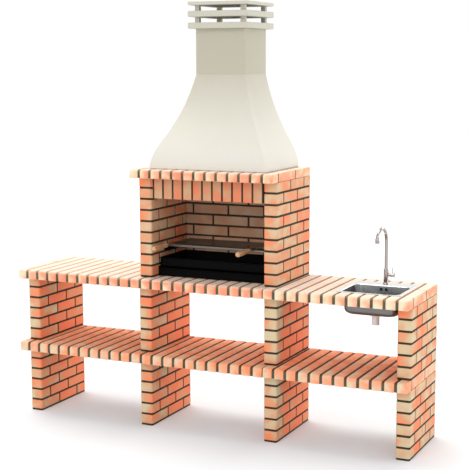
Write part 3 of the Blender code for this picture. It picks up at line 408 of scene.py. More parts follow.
# Tiles drawn paler, and paler still on their upper faces, most on the left worktop: painted light from above
top_lit_tile_clay = make_clay("bleached_clay_tile", TOP_LIT_TILE_STOPS, TILE_PATCH, 0.85)
brightest_top_lit_clay = make_clay("sun_bleached_clay_tile", TOP_LIT_TILE_STOPS, TILE_PATCH, 0.95)
# Trowelled and struck: a dull line round every brick. It is dark brown in the walls, and grey in the decks.
# On top it is darker and browner in the shelves, a painted shade under the worktop, and paler on the worktops
# and the top slab, a painted light
wall_mortar = make_mortar("cement_mortar_brown", "2C2219", "4A3D2B")
shelf_mortar_painted_shade_top = make_mortar("cement_mortar_grey_painted_shade_top", "454232", "6B6551", "54361F")
top_lit_mortar = make_mortar("cement_mortar_painted_light_top", "454232", "6B6551", "937A60")
brightest_top_lit_mortar = make_mortar("cement_mortar_bleached", "454232", "6B6551", "C0A080")
print("clay and mortar ready")

# %% [markdown]
# ## A stock of bricks
# A mason works from a few shapes. They could be copied by hand to every place. Here each is made once, at
# the origin, with its edges a little worn, and keeps its own coordinates in an attribute called place. A
# tree of Geometry Nodes then lays it wherever the bond needs it.

# %% Brick shapes
BRICK_WIDTH = 80 * MM
BRICK_HEIGHT = 52.5 * MM
JOINT = 10 * MM
COURSE = BRICK_HEIGHT + JOINT
FULL = 185 * MM
HALF = 87.5 * MM
ARRIS = 12 * MM
WORN_EDGE = 1.8 * MM
SLACK = 0.7 * MM


def block_rings(low, high, arris=0.0):
    """The foot and head of a block. With an arris, its two front edges are round."""
    (x0, y0, z0), (x1, y1, z1) = low, high
    outline = [(x0, y0), (x1, y0)]
    if arris:
        in_y = y0 + arris
        outline = arc((x0 + arris, in_y), arris, 2, 3, 4) + arc((x1 - arris, in_y), arris, 3, 4, 4)
    outline += [(x1, y1), (x0, y1)]
    return [[Vector((x, y, z)) for x, y in outline] for z in (z0, z1)]


def stock_shape(name, bm, material, wear_and_top_light, segments, angle, smooth_angle=0):
    """Wears every edge whose faces meet at more than the angle, and stores each point's own coordinates."""
    bmesh.ops.remove_doubles(bm, verts=bm.verts, dist=MERGE)
    bmesh.ops.recalc_face_normals(bm, faces=bm.faces)
    edges = [e for e in bm.edges if len(e.link_faces) == 2 and e.calc_face_angle() > math.radians(angle)]
    bmesh.ops.bevel(bm, geom=edges, offset=wear_and_top_light, segments=segments, profile=0.5, affect="EDGES")
    layer = bm.verts.layers.float_vector.new("place")
    for vert in bm.verts:
        vert[layer] = vert.co
    return finish_mesh(name, bm, material, smooth_angle)


def stock_brick(name, size, rounded=False):
    """A brick round the origin, with a little slack on each side for how loosely it is laid. A rounded one
    ends a wall, with large arrises in front."""
    half = Vector(size) / 2 - Vector((SLACK, SLACK, SLACK))
    bm = bmesh.new()
    add_loft(bm, block_rings(-half, half, ARRIS if rounded else 0))
    return stock_shape(name, bm, brick_clay, WORN_EDGE, 1 if rounded else 2, 30)


def make_stock(name, pieces):
    """A collection of shapes. Their numbers in front keep them in order for Geometry Nodes."""
    stock = bpy.data.collections.new(name)
    for piece in pieces:
        scene.collection.objects.unlink(piece)
        stock.objects.link(piece)
    return stock


print("brick face", FULL, BRICK_HEIGHT)

# %% [markdown]
# ## The tree that lays bricks
# In a wall no two bricks lie quite alike. An Array modifier could repeat one, but not in a bond, and not
# each a hair out of true. This tree takes points that carry a kind, a tone and a lean. It puts the right
# shape on each, turns and shifts it by a hair, gives each its own draw for colour, and makes the instances
# real, because an export drops instances.

# %% Laying tree
LOOSENESS = 0.3 * MM
TILT = 0.002
SEED_STEP = 17.0
SOCKETS = {"Geometry": "Geometry", "Stock": "Collection", "Material": "Material", "Tilt": "Float",
           "Looseness": "Float", "Seed": "Int"}
laying = bpy.data.node_groups.new("lay pieces", "GeometryNodeTree")
for label, kind in SOCKETS.items():
    laying.interface.new_socket(label, in_out="INPUT", socket_type="NodeSocket" + kind)
laying.interface.new_socket("Geometry", in_out="OUTPUT", socket_type="NodeSocketGeometry")
given = laying.nodes.new("NodeGroupInput").outputs
add = partial(add_node, laying)
near = add("Math", (given["Looseness"], -1.0), operation="MULTIPLY")
slack = add("FunctionNodeRandomValue", {0: near, 1: given["Looseness"], "Seed": given["Seed"]},
            data_type="FLOAT_VECTOR")
moved = add("GeometryNodeSetPosition", {"Geometry": given["Geometry"], "Offset": slack})
lean_back = add("Math", (given["Tilt"], -1.0), operation="MULTIPLY")
other = add("Math", (given["Seed"], SEED_STEP), operation="ADD")
tilt = add("FunctionNodeRandomValue", {0: lean_back, 1: given["Tilt"], "Seed": other},
           data_type="FLOAT_VECTOR")
turned = add("FunctionNodeEulerToRotation", (tilt,))
shapes = add("GeometryNodeCollectionInfo", {"Collection": given["Stock"], "Separate Children": True,
                                            "Reset Children": True})
kind = add("GeometryNodeInputNamedAttribute", {"Name": "kind"}, data_type="INT")
laid = add("GeometryNodeInstanceOnPoints", {"Points": moved, "Instance": shapes, "Pick Instance": True,
                                            "Instance Index": kind, "Rotation": turned})
draws = add("FunctionNodeRandomValue", {2: 0.0, 3: 1.0, "Seed": given["Seed"]}, data_type="FLOAT")
drawn = add("GeometryNodeStoreNamedAttribute", {"Geometry": laid, "Name": "draw", "Value": draws.outputs[1]},
            data_type="FLOAT", domain="INSTANCE")
real = add("GeometryNodeRealizeInstances", {"Geometry": drawn})
fired = add("GeometryNodeSetMaterial", {"Geometry": real, "Material": given["Material"]})
add("NodeGroupOutput", (fired,))


def lay(name, rows, stock, material, seed, looseness=LOOSENESS, tilt=TILT):
    """Lays (place, kind, tone, lean) rows of a stock's shapes, and keeps them as one plain mesh."""
    places, kinds, tones, leans = zip(*rows)
    leans = [part for lean in leans for part in lean]
    mesh = bpy.data.meshes.new(name)
    mesh.from_pydata(places, [], [])
    for label, form, key, values in (("kind", "INT", "value", kinds), ("tone", "FLOAT", "value", tones),
                                     ("lean", "FLOAT_VECTOR", "vector", leans)):
        mesh.attributes.new(label, form, "POINT").data.foreach_set(key, values)
    obj = add_object(name, mesh)
    modifier = obj.modifiers.new("lay", "NODES")
    modifier.node_group = laying
    settings = {"Stock": stock, "Material": material, "Tilt": tilt, "Looseness": looseness, "Seed": seed}
    for item in laying.interface.items_tree:
        if item.name in settings:
            modifier[item.identifier] = settings[item.name]
    keep_result(obj, modifier)
    obj.data.name = name
    return obj


print("the laying tree has", len(laying.nodes), "nodes")

# %% [markdown]
# ## Piers
# A pier is one brick wide and two and a half deep. Courses start in turn with a whole and a half brick,
# which ties them, and the bricks in front have large rounded arrises. The mortar could be a thin piece in
# each joint. One body inside the bricks, struck back a little, shows the same joints with few faces.

# %% Piers
MORTAR_BACK = 2.5 * MM
PIER_COURSES = 6
CREAM_COURSES = (2, 4)
LEVEL = (0, 0, 0)
# Tone and lean of whole front bricks, of those in the cream courses, of half front bricks, and of all others.
# On the left piers front bricks turn from cream to orange across the face, and whole ones back along the
# side. On the right ones they are cream in front in the cream courses, and half ones turn from orange to
# cream. The side of the outer pier, which stands in the open, is drawn creamier than the sides in the bays:
# painted light.
LEFT_PIER = ((0.72, (-7.0, 3.0, 0)), (0.72, (-7.0, 3.0, 0)), (0.6, (-7.0, 0, 0)), (0.14, LEVEL))
RIGHT_PIER = ((0.32, (0, -3.5, 0)), (0.3, (0, -7.0, 0)), (0.5, (6.0, -2.0, 0)), (0.15, LEVEL))
OUTER_PIER = (*RIGHT_PIER[:3], (0.6, LEVEL))
FIREBOX_SIDE = (*[(0.44, (3.0, 0, 0))] * 3, (0.46, LEVEL))
# A whole and a half brick that end a wall in front, then a plain whole and half one
pier_stock = make_stock("pier_bricks", [
    stock_brick(f"{i}_brick", (BRICK_WIDTH, length, BRICK_HEIGHT), i < 2)
    for i, length in enumerate((FULL, HALF, FULL, HALF))])


def finish_wall(node, low, high, rows, stock, clay, seed, arris=0.0, looseness=LOOSENESS):
    """Lays a wall's bricks with their mortar, struck back, as the piece that stands for a node."""
    bricks = lay(node + "_bricks", rows, stock, clay, seed, looseness)
    rings = block_rings((low.x + MORTAR_BACK, low.y + MORTAR_BACK, low.z),
                        (high.x - MORTAR_BACK, high.y - MORTAR_BACK, high.z), arris)
    join(bricks, loft_piece(node + "_mortar", rings, wall_mortar))
    place_piece(bricks, node)
    return bricks


def build_wall(node, courses, tones, seed):
    """A wall in the piers' bond, course by course."""
    low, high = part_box(node)
    rows = []
    for course in range(courses):
        z = low.z + course * COURSE + JOINT + BRICK_HEIGHT / 2
        order = ((0, FULL), (2, FULL), (3, HALF)) if course % 2 == 0 else ((1, HALF), (2, FULL), (2, FULL))
        y = low.y
        for i, (kind, length) in enumerate(order):
            which = 3 if i else 2 if course % 2 else 1 if course in CREAM_COURSES else 0
            rows.append(((low.x + BRICK_WIDTH / 2, y + length / 2, z), kind, *tones[which]))
            y += length + JOINT
    return finish_wall(node, low, high, rows, pier_stock, brick_clay, seed, ARRIS - MORTAR_BACK)


for number, tones in enumerate((LEFT_PIER, LEFT_PIER, RIGHT_PIER, OUTER_PIER), 1):
    for i, part in enumerate(("lower", "upper")):
        wall = build_wall(f"pier_{number}_{part}", PIER_COURSES, tones, 10 * number + i)
print("a pier has", len(wall.data.polygons), "faces")

# %% [markdown]
# ## Firebox
# The firebox has side walls like the piers', a thinner back wall of bricks on edge, and a row of upright
# bricks, the soldiers, over its mouth. A sliver of brick ends the left wall's top two courses beside the
# first soldier. Each wall could have its own tree. They differ only in their rows of bricks, so the piers'
# functions finish them all.

# %% Firebox
FIREBOX_COURSES = 9
BACK_THICKNESS = 52.5 * MM
BACK_BRICK = 216 * MM
EVEN_START = 170 * MM
ODD_START = 42 * MM
SOLDIER = Vector((50.7, 80, 115)) * MM
SOLDIERS = 11
SPRINGER = 9 * MM
BACK_WALL_TONE = 0.6
SOLDIER_TONE = (0.38, (5.0, 0, 0))
SLIVER_TONE = (0.4, LEVEL)
for i, side_name in enumerate(("left", "right")):
    build_wall(f"firebox_{side_name}_wall", FIREBOX_COURSES, FIREBOX_SIDE, 101 + i)

low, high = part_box("firebox_back_wall")
ends = [high.x - low.x - start - 2 * BACK_BRICK - 3 * JOINT for start in (EVEN_START, ODD_START)]
back_lengths = (BACK_BRICK, EVEN_START, ends[0], ODD_START, ends[1])
back_stock = make_stock("back_bricks", [
    stock_brick(f"{i}_back", (length, BACK_THICKNESS, BRICK_HEIGHT))
    for i, length in enumerate(back_lengths)])
rows = []
for course in range(FIREBOX_COURSES):
    x = low.x
    z = low.z + course * COURSE + JOINT + BRICK_HEIGHT / 2
    for kind in ((1, 0, 0, 2) if course % 2 == 0 else (3, 0, 0, 4)):
        length = back_lengths[kind]
        rows.append(((x + length / 2, low.y + BACK_THICKNESS / 2, z), kind, BACK_WALL_TONE, LEVEL))
        x += length + JOINT
finish_wall("firebox_back_wall", low, high, rows, back_stock, shaded_back_wall_clay, seed=140)

low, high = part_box("lintel")
springer_end = low.x + SPRINGER
soldier_joint = (high.x - springer_end - SOLDIERS * SOLDIER.x) / (SOLDIERS + 1)
lintel_stock = make_stock("lintel_bricks", [
    stock_brick("0_soldier", SOLDIER), stock_brick("1_sliver", (SPRINGER, SOLDIER.y, BRICK_HEIGHT))])
middle_y = (low.y + high.y) / 2
rows = []
for i in range(SOLDIERS):
    x = springer_end + soldier_joint + SOLDIER.x / 2 + i * (SOLDIER.x + soldier_joint)
    rows.append(((x, middle_y, low.z + SOLDIER.z / 2), 0, *SOLDIER_TONE))
for z in (low.z + BRICK_HEIGHT / 2, high.z - BRICK_HEIGHT / 2):
    rows.append(((low.x + SPRINGER / 2, middle_y, z), 1, *SLIVER_TONE))
bed_low = low + Vector((0, 0, MORTAR_BACK))
finish_wall("lintel", bed_low, high, rows, lintel_stock, lintel_clay, seed=150, looseness=0.2 * MM)
print("soldier joint", round(soldier_joint, 4))

# %% [markdown]
# ## Shelf, worktop and top slab
# Each slab is a row of clay tiles on a concrete core. A row runs from front to back as a nosing tile with a
# rounded front and then plain tiles, closely butted. Between rows the mortar is wide and grey. A tile could
# be a cube with a Bevel modifier, but that rounds all its edges alike. A side view drawn out to the tile's
# width gives the nose its own large round.

# %% Tiled slabs
TILE_WIDTH = 55 * MM
TILE_JOINT = 13.2 * MM
TOP_TILE_JOINT = 12.2 * MM
SEAM = 3 * MM
FIT = 0.3 * MM
NOSE_DEPTH = 25 * MM
NOSE_RADIUS = 14 * MM
CORE = 30 * MM
NOSING = 101 * MM
TILE_LENGTH = 199 * MM
BUTT = 2 * MM
END_NOSING = 85 * MM
END_TILE = 231.4 * MM
DECK_BACK = 3 * MM
TILE_LOOSENESS = 0.25 * MM
TILE_TILT = 0.001
TILE_LEAN = (-10.0, 0, 0)
FREE_TONE = 0.75
PLAIN_TONE = 0.3
SHELF_TONE = 0.55
SINK_TONE = 0.78
WORKTOP_TONE = 0.36
TOP_SLAB_TONE = 0.38


def nose_outline(drawn_in, length, thickness, step_at):
    """The side view of a nosing tile, from its front at 0, as (Y, Z) with Z 0 at its foot. Behind step_at it
    is only as thick as the plain tiles."""
    top_z = thickness - drawn_in
    outline = arc((drawn_in + NOSE_RADIUS, top_z - NOSE_RADIUS), NOSE_RADIUS, 2, 1, 5)
    outline.append((length - drawn_in, top_z))
    if step_at < length:
        outline += [(length - drawn_in, CORE + drawn_in), (step_at - drawn_in, CORE + drawn_in)]
    return outline + [(min(step_at, length) - drawn_in, drawn_in), (drawn_in, drawn_in)]


def plain_outline(length, thickness):
    """The side view of a plain tile."""
    low, high = SLACK, length - SLACK
    return [(low, SLACK), (high, SLACK), (high, thickness - SLACK), (low, thickness - SLACK)]


def drawn_out(outline, left, right, low=Vector()):
    """The two rings of an outline that runs along X."""
    return [[Vector((x, low.y + y, low.z + z)) for y, z in outline] for x in (left, right)]


def tile_shape(name, outline, material):
    """A tile whose place is measured from its middle."""
    half = TILE_WIDTH / 2 - 2 * SLACK
    bm = bmesh.new()
    add_loft(bm, drawn_out(outline, -half, half))
    return stock_shape(name, bm, material, WORN_EDGE, 1, 40)


def build_deck(node, gap_before, joint, material, bed_mortar, seed, free_ends, nose_tone, hole=None):
    """One deck. A free end, "left" or "right", is closed by tiles of full height."""
    low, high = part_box(node)
    thickness = high.z - low.z
    depth = high.y - low.y
    outlines, places = [], []
    # The nosing and two tiles of a plain row, then those of a row at a free end
    for nosing, step_at, tile, lift, gap in ((NOSING, NOSE_DEPTH, TILE_LENGTH, CORE, BUTT),
                                             (END_NOSING, END_NOSING, END_TILE, 0, JOINT)):
        outlines += [nose_outline(SLACK, nosing, thickness, step_at), plain_outline(tile, thickness - lift),
                     plain_outline(depth - nosing - tile - 2 * gap, thickness - lift)]
        places += [(0, 0), (nosing + gap, lift), (nosing + tile + 2 * gap, lift)]
    stock = make_stock(node + "_stock", [
        tile_shape(f"{i}_tile", outline, material) for i, outline in enumerate(outlines)])
    # Whole tiles, whose joints are spread evenly
    start = low.x - FIT + gap_before if gap_before else low.x
    last = round((high.x - start + joint) / (TILE_WIDTH + joint)) - 1
    pitch = (high.x - start - TILE_WIDTH) / last
    rows = []
    for i in range(last + 1):
        free = (i == 0 and "left" in free_ends) or (i == last and "right" in free_ends)
        for shape in (3, 4, 5) if free else (0, 1, 2):
            y, z = places[shape]
            tone = FREE_TONE if free else PLAIN_TONE if shape else nose_tone
            rows.append(((start + i * pitch + TILE_WIDTH / 2, low.y + y, low.z + z), shape, tone, TILE_LEAN))
    tiles = lay(node.replace("_tiles", "_tile_rows"), rows, stock, material, seed, TILE_LOOSENESS, TILE_TILT)
    beds = [(low.x + DECK_BACK * ("left" in free_ends), high.x - DECK_BACK, NOSE_DEPTH)]
    if "left" in free_ends:
        beds.append((low.x + DECK_BACK, low.x + TILE_WIDTH - DECK_BACK, depth))
    if "right" in free_ends:
        beds.append((high.x - TILE_WIDTH + DECK_BACK, high.x - DECK_BACK, depth))
    for i, (x0, x1, step_at) in enumerate(beds):
        section = nose_outline(DECK_BACK + i * FIT, depth, thickness, step_at)
        rings = drawn_out(section, x0 + i * FIT, x1 - i * FIT, low)
        join(tiles, loft_piece(f"{node}_mortar_{i}", rings, bed_mortar))
    if hole:
        cut_away(tiles, hole)
    place_piece(tiles, node)


def box_helper(name, low, high):
    """A plain box that cuts, and is never seen."""
    bm = bmesh.new()
    middle = (Vector(low) + Vector(high)) / 2
    bmesh.ops.create_cube(bm, size=1, matrix=Matrix.LocRotScale(middle, None, Vector(high) - Vector(low)))
    return finish_mesh(name, bm, shelf_mortar_painted_shade_top, 0)


BOWL_WIDTH = 314.8 * MM
BOWL_DEPTH = 244 * MM
BOWL_RIM = 18.6 * MM
CUT_SIDE = 8 * MM
CUT_BACK = 12 * MM
SINK_CUT = (0.6, 1.0)
SMOKE_CUT = (1.3, 1.6)
SMOKE_INSET = 58 * MM
sink_low, sink_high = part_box("sink")
hood_low, hood_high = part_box("hood")
bowl_x = (sink_low.x + sink_high.x) / 2
bowl_y = sink_low.y + BOWL_RIM + BOWL_DEPTH / 2
sink_cutter = box_helper(
    "sink_cutter", (bowl_x - BOWL_WIDTH / 2 - CUT_SIDE, bowl_y - BOWL_DEPTH / 2 - CUT_SIDE, SINK_CUT[0]),
    (bowl_x + BOWL_WIDTH / 2 + CUT_SIDE, sink_high.y - CUT_BACK, SINK_CUT[1]))
smoke_cutter = box_helper(
    "smoke_cutter", (hood_low.x + SMOKE_INSET, hood_low.y + SMOKE_INSET, SMOKE_CUT[0]),
    (hood_high.x - SMOKE_INSET, hood_high.y - SMOKE_INSET, SMOKE_CUT[1]))
for i, (end, gap, clay, bed, tone, hole) in enumerate((
        ("left", 0, brightest_top_lit_clay, brightest_top_lit_mortar, WORKTOP_TONE, None),
        ("centre", TILE_JOINT, top_lit_tile_clay, top_lit_mortar, WORKTOP_TONE, None),
        ("right", SEAM, top_lit_tile_clay, top_lit_mortar, SINK_TONE, sink_cutter))):
    build_deck(f"shelf_{end}_tiles", gap, TILE_JOINT, lit_shelf_clay, shelf_mortar_painted_shade_top, 200 + i, (end,), SHELF_TONE)
    build_deck(f"worktop_{end}_tiles", gap, TILE_JOINT, clay, bed, 210 + i, (end,), tone, hole)
build_deck("top_slab_tiles", 0, TOP_TILE_JOINT, top_lit_tile_clay, top_lit_mortar, 220, ("left", "right"),
           TOP_SLAB_TONE, smoke_cutter)
print("worktop is", round(sink_high.x - sink_low.x, 4), "wide at the sink")

# %% [markdown]
# ## Concrete
# The hood, the flue and the cap are cast in smooth moulds from white cement and pale sand. That gives a matt,
# chalky cream with faint clouds, and tiny holes where air was caught. It is painted greyer towards the top of
# the hood and in the flue, a painted shade where the hood steepens and under the cap. The holes could be cut
# into the mesh, but they are so small that relief in the material shows them as well.

# %% Concrete materials
# Sand of under 1 mm is drawn 2.6 mm wide, so that it shows. Air holes are 3 mm wide and 22 mm apart
CONCRETE_SAND_SCALE = 380.0
AIR_HOLE_SCALE = 45.0
CONCRETE_CLOUD = 0.25
AIR_HOLE = 0.5 * MM


def make_concrete(name, stops, heights, cloud_size=CONCRETE_CLOUD, hole_depth=AIR_HOLE):
    """Cast concrete. Its colour runs through the stops from the lower to the upper height."""
    material, add, shader = new_material(name)
    where = add("TexCoord").outputs["Object"]
    risen = add("MapRange", (add("SeparateXYZ", (where,)).outputs["Z"], *heights))
    cloud = add("TexNoise", {"Vector": where, "Scale": 1 / cloud_size, "Detail": 4.0})
    drift = add("MapRange", (cloud, *NOISE_RANGE, -0.06, 0.06))
    ramp = add("ValToRGB", (add("Math", (risen, drift), operation="ADD"),))
    fill_ramp(ramp, stops)
    grain = add("TexNoise", {"Vector": where, "Scale": CONCRETE_SAND_SCALE, "Detail": 3.0})
    shade = add("MapRange", (grain, *NOISE_RANGE, 0.95, 1.03))
    base = add("Mix", {0: 1.0, 6: ramp, 7: shade}, data_type="RGBA", blend_type="MULTIPLY").outputs[2]
    hole = add("MapRange", (add("TexVoronoi", {"Vector": where, "Scale": AIR_HOLE_SCALE}), 0.0, 0.13))
    height = add("Math", (grain, 0.4, hole), operation="MULTIPLY_ADD")
    finish_material(add, shader, base, 0.9, height, 0.4, hole_depth)
    return material


# Cast smooth: chalky cream at the hood's foot, painted greyer up the hood and in the flue, a painted shade,
# and pale again in the cap. The cores are cast rough, in a cloudy grey
HOOD_STOPS = ((0.0, "E3DFD5"), (0.45, "DCD8CA"), (1.0, "C8C3B2"))
hood_concrete = make_concrete("white_cement_concrete", HOOD_STOPS, (1.47, 1.99))
shaded_flue_concrete = make_concrete("flue_concrete_painted_shade", ((0.0, "BEB9A6"), (1.0, "BBB6A3")), (1.99, 2.24))
cap_concrete = make_concrete("cream_cap_concrete", ((0.0, "C9C5B5"), (1.0, "CCC8B9")), (2.24, 2.39))
core_concrete = make_concrete("grey_concrete", ((0.0, "9A9488"), (1.0, "A8A294")), (0.3, 1.5),
                              cloud_size=0.06, hole_depth=1.2 * MM)
print("concrete for hood, flue, cap and cores ready")

# %% [markdown]
# ## Hood, flue and cap
# The hood narrows from the slab to the flue in an ogee. Its section is a rectangle with small rounded
# arrises. It could be shaped from a cube by hand. One curve gives how far it has narrowed at each height,
# so a loft through many levels makes it smooth and true. It stands on a thin joint that is struck back.

# %% Hood, flue and cap
HOOD_FLARE_SHARES = ((1.0, 0.0), (0.925, 0.315), (0.405, 0.327), (0.0, 1.0))
HOOD_LEVELS = 48
HOOD_WALL = 28 * MM
CONCRETE_ARRIS = 8 * MM
FOOT_JOINT = 4 * MM
FLUE_WALL = 25 * MM
PLATE_EDGE = 3 * MM
flue_low, flue_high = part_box("flue")
hood_x = (hood_low.x + hood_high.x) / 2


def hood_ring(t, inset):
    """The hood's section at a share t of the curve by which it narrows and rises, drawn in by the inset."""
    weights = ((1 - t) ** 3, 3 * (1 - t) ** 2 * t, 3 * (1 - t) * t**2, t**3)
    spread, rise = [sum(w * point[i] for w, point in zip(weights, HOOD_FLARE_SHARES)) for i in (0, 1)]
    half = (flue_high.x - flue_low.x) / 2
    half += spread * ((hood_high.x - hood_low.x) / 2 - half) - inset
    front = flue_low.y - spread * (flue_low.y - hood_low.y) + inset
    back = flue_high.y + spread * (hood_high.y - flue_high.y) - inset
    height = hood_low.z + rise * (hood_high.z - hood_low.z)
    return rounded_ring((hood_x - half, front), (hood_x + half, back), CONCRETE_ARRIS, height, 4)


def flue_ring(reach, height):
    """The flue's section, widened by the reach."""
    low = (flue_low.x - reach, flue_low.y - reach)
    return rounded_ring(low, (flue_high.x + reach, flue_high.y + reach), CONCRETE_ARRIS, height, 4)


foot_lift = Vector((0, 0, FOOT_JOINT))
rings = [hood_ring(0, FOOT_JOINT)]
rings += [[point + foot_lift for point in hood_ring(0, inset)] for inset in (FOOT_JOINT, 0)]
levels = [i / HOOD_LEVELS for i in range(HOOD_LEVELS + 1)]
rings += [hood_ring(s, 0) for s in levels[1:]] + [hood_ring(s, HOOD_WALL) for s in reversed(levels)]
place_piece(loft_piece("smoke_hood", rings, hood_concrete, hollow=True), "hood")

rings = [flue_ring(reach, height) for reach, height in (
    (0, flue_low.z), (0, flue_high.z), (-FLUE_WALL, flue_high.z), (-FLUE_WALL, flue_low.z))]
place_piece(loft_piece("flue_tube", rings, shaded_flue_concrete, hollow=True), "flue")

for name in ("lower", "middle", "top"):
    low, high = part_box(f"cap_plate_{name}")
    reach = flue_low.x - low.x
    outline = [(reach - PLATE_EDGE, low.z), (reach, low.z + PLATE_EDGE), (reach, high.z - PLATE_EDGE),
               (reach - PLATE_EDGE, high.z)]
    bore = [(-FLUE_WALL, high.z), (-FLUE_WALL, low.z)] if name != "top" else []
    rings = [flue_ring(r, z) for r, z in outline + bore]
    plate = loft_piece(f"cap_slab_{name}", rings, cap_concrete, hollow=bool(bore))
    place_piece(plate, f"cap_plate_{name}")
print("hood is", round(hood_high.z - hood_low.z, 4), "high in", HOOD_LEVELS, "levels")

# %% [markdown]
# ## Metals, wood and plastic
# The trays are sheet steel with black heat-proof paint: nearly black, with a low, broken sheen. The grill
# is zinc-plated wire, dull from the bath. The sink is brushed stainless steel, whose fine lines drag the
# light sideways, and the tap is chrome. The grips are turned beech with fine grain along them. Each could
# have nodes of its own, but metals, paint and plastic differ only in numbers here, so they share one
# function.

# %% Metal, wood and plastic materials
# Real brush lines are a tenth of a millimetre wide. These are drawn 1.7 mm wide and 44 mm long in the bowl,
# so that they show
BRUSHED = (0.15, 4, 4)
TINT_SHARE = 0.82


def make_metal(name, code, rough, grain_scale, bump_height, stretch=(1, 1, 1), metallic=1.0):
    """Metal, paint or plastic. Its roughness and relief follow a noise, stretched where it was brushed. On
    paint and zinc the grain of 3 to 4 mm stands for a finer one that wouldn't show. On smooth surfaces it is
    their faint waviness, of 8 to 17 mm."""
    material, add, shader = new_material(name)
    pulled = add("Mapping", {"Vector": add("TexCoord").outputs["Object"], "Scale": stretch})
    grain = add("TexNoise", {"Vector": pulled, "Scale": grain_scale, "Detail": 3.0})
    roughness = add("MapRange", (grain, *NOISE_RANGE, *rough))
    tint = (*[c * TINT_SHARE for c in colour(code)[:3]], 1.0)
    base = add("Mix", {0: grain, 6: colour(code), 7: tint}, data_type="RGBA").outputs[2]
    shader.inputs["Metallic"].default_value = metallic
    finish_material(add, shader, base, roughness, grain, 0.25, bump_height)
    return material


# Sprayed heat-proof paint, sooty, with hardly any sheen
black_steel = make_metal("black_painted_steel", "070708", (0.65, 0.85), 260.0, 0.3 * MM, metallic=0.0)
black_steel.node_tree.nodes["Principled BSDF"].inputs["Specular IOR Level"].default_value = 0.08
# Plated in a bath: dull grey with a soft, broken shine
zinc_wire = make_metal("zinc_plated_wire", "9A968E", (0.3, 0.5), 300.0, 0.2 * MM)
# The bowl's brushed inside streaks the light, its outside is dull from the press, and its flange is polished.
# The bowl and the outside are also painted a darker grey, a painted shade, and the flange near white, a
# painted highlight
shaded_brushed_steel = make_metal("brushed_stainless_steel_painted_shade", "868889", (0.2, 0.38), 150.0, 0.1 * MM, BRUSHED)
shaded_dull_steel = make_metal("unpolished_stainless_steel_painted_shade", "868684", (0.35, 0.5), 110.0, 0.1 * MM, BRUSHED)
highlit_polished_steel = make_metal("polished_stainless_steel_painted_highlight", "F2F2F1", (0.12, 0.2), 90.0, 0.05 * MM)
# Polished and plated: a mirror, with a faint warm cast that is a painted reflection of the clay around it
chrome_painted_warm_reflection = make_metal("chrome_painted_warm_reflection", "B4ADAA", (0.06, 0.14), 60.0, 0.02 * MM)
# Moulded smooth, with a soft sheen: white below the bowl, and black behind the overflow, a painted shade in
# its holes
shaded_overflow_plastic = make_metal("overflow_plastic_painted_shade", "0A0A0A", (0.5, 0.7), 120.0, 0.1 * MM, metallic=0.0)
waste_plastic = make_metal("white_waste_plastic", "FAF2F0", (0.32, 0.45), 120.0, 0.1 * MM, metallic=0.0)
# Turned and sanded: pale and nearly matt. Its fibres run along the grip. Real ones are 1 to 2 mm apart, and
# these are 6 mm apart, so that they show
beech, add, shader = new_material("turned_beech")
pulled = add("Mapping", {"Vector": add("TexCoord").outputs["Object"], "Scale": (160, 12, 160)})
fibre = add("TexNoise", {"Vector": pulled, "Scale": 1.0, "Detail": 4.0, "Distortion": 0.6})
ramp = add("ValToRGB", (fibre,))
fill_ramp(ramp, ((0.3, "B98555"), (0.7, "E0B88A")))
finish_material(add, shader, ramp, 0.55, fibre, 0.3, 0.3 * MM)
print("materials so far", len(bpy.data.materials))

# %% [markdown]
# ## Fire trays
# The tray and the drawer are folded from 2 mm sheet and painted. Their rims are turned out and stiffen
# them, their folds are round, and a row of slots in the tray's floor lets the ash fall. An open box with a
# Solidify modifier would have sharp folds. A loft that follows the sheet, outside and inside, has them
# round.

# %% Fire trays
SHEET = 2 * MM
FOLD = 4 * MM
TRAY_RIM = 8 * MM
DRAWER_RIM = 1 * MM
DRAWER_FRONT_RIM = 10 * MM
SLOT_WIDTH = 10 * MM
SLOT_LENGTH = 240 * MM
SLOT_PITCH = 52 * MM
SLOT_MARGIN = 28 * MM


def folded_tray(name, rim, front_rim):
    """An open tray whose box is the node's, with round folds and a rim turned out at its upper edge."""
    low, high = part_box(name)
    walls = (low.x + rim, low.y + front_rim), (high.x - rim, high.y - rim)

    def ring(reach, height, lip=0.0):
        x0, y0 = walls[0][0] - reach - lip * rim, walls[0][1] - reach - lip * front_rim
        x1, y1 = walls[1][0] + reach + lip * rim, walls[1][1] + reach + lip * rim
        return rounded_ring((x0, y0), (x1, y1), max(FOLD + reach, FOLD / 4), height, 4)

    centre = (-FOLD, low.z + FOLD)
    rings = [ring(u, v) for u, v in arc(centre, FOLD, -1, 0, 4)]
    rings += [ring(0, high.z - SHEET), ring(0, high.z - SHEET, 1), ring(0, high.z, 1), ring(-SHEET, high.z)]
    rings += [ring(u, v) for u, v in arc(centre, FOLD - SHEET, 0, -1, 4)]
    return loft_piece("folded_" + name, rings, black_steel)


tray_low, tray_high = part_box("charcoal_tray")
tray = folded_tray("charcoal_tray", TRAY_RIM, TRAY_RIM)
slot_count = math.floor((tray_high.x - tray_low.x - 2 * TRAY_RIM - SLOT_MARGIN) / SLOT_PITCH)
tray_middle = (tray_low + tray_high) / 2
for i in range(slot_count):
    x = tray_middle.x + (i - (slot_count - 1) / 2) * SLOT_PITCH
    low = (x - SLOT_WIDTH / 2, tray_middle.y - SLOT_LENGTH / 2, tray_low.z - SHEET)
    high = (x + SLOT_WIDTH / 2, tray_middle.y + SLOT_LENGTH / 2, tray_low.z + 2 * SHEET)
    cutter = box_helper("slot_cutter", low, high)
    slots = join(slots, cutter) if i else cutter
cut_away(tray, slots)
place_piece(tray, "charcoal_tray", "charcoal_tray")
drawer = folded_tray("ash_drawer", DRAWER_RIM, DRAWER_FRONT_RIM)
place_piece(drawer, "ash_drawer", "ash_drawer")
print("ash slots", slot_count)

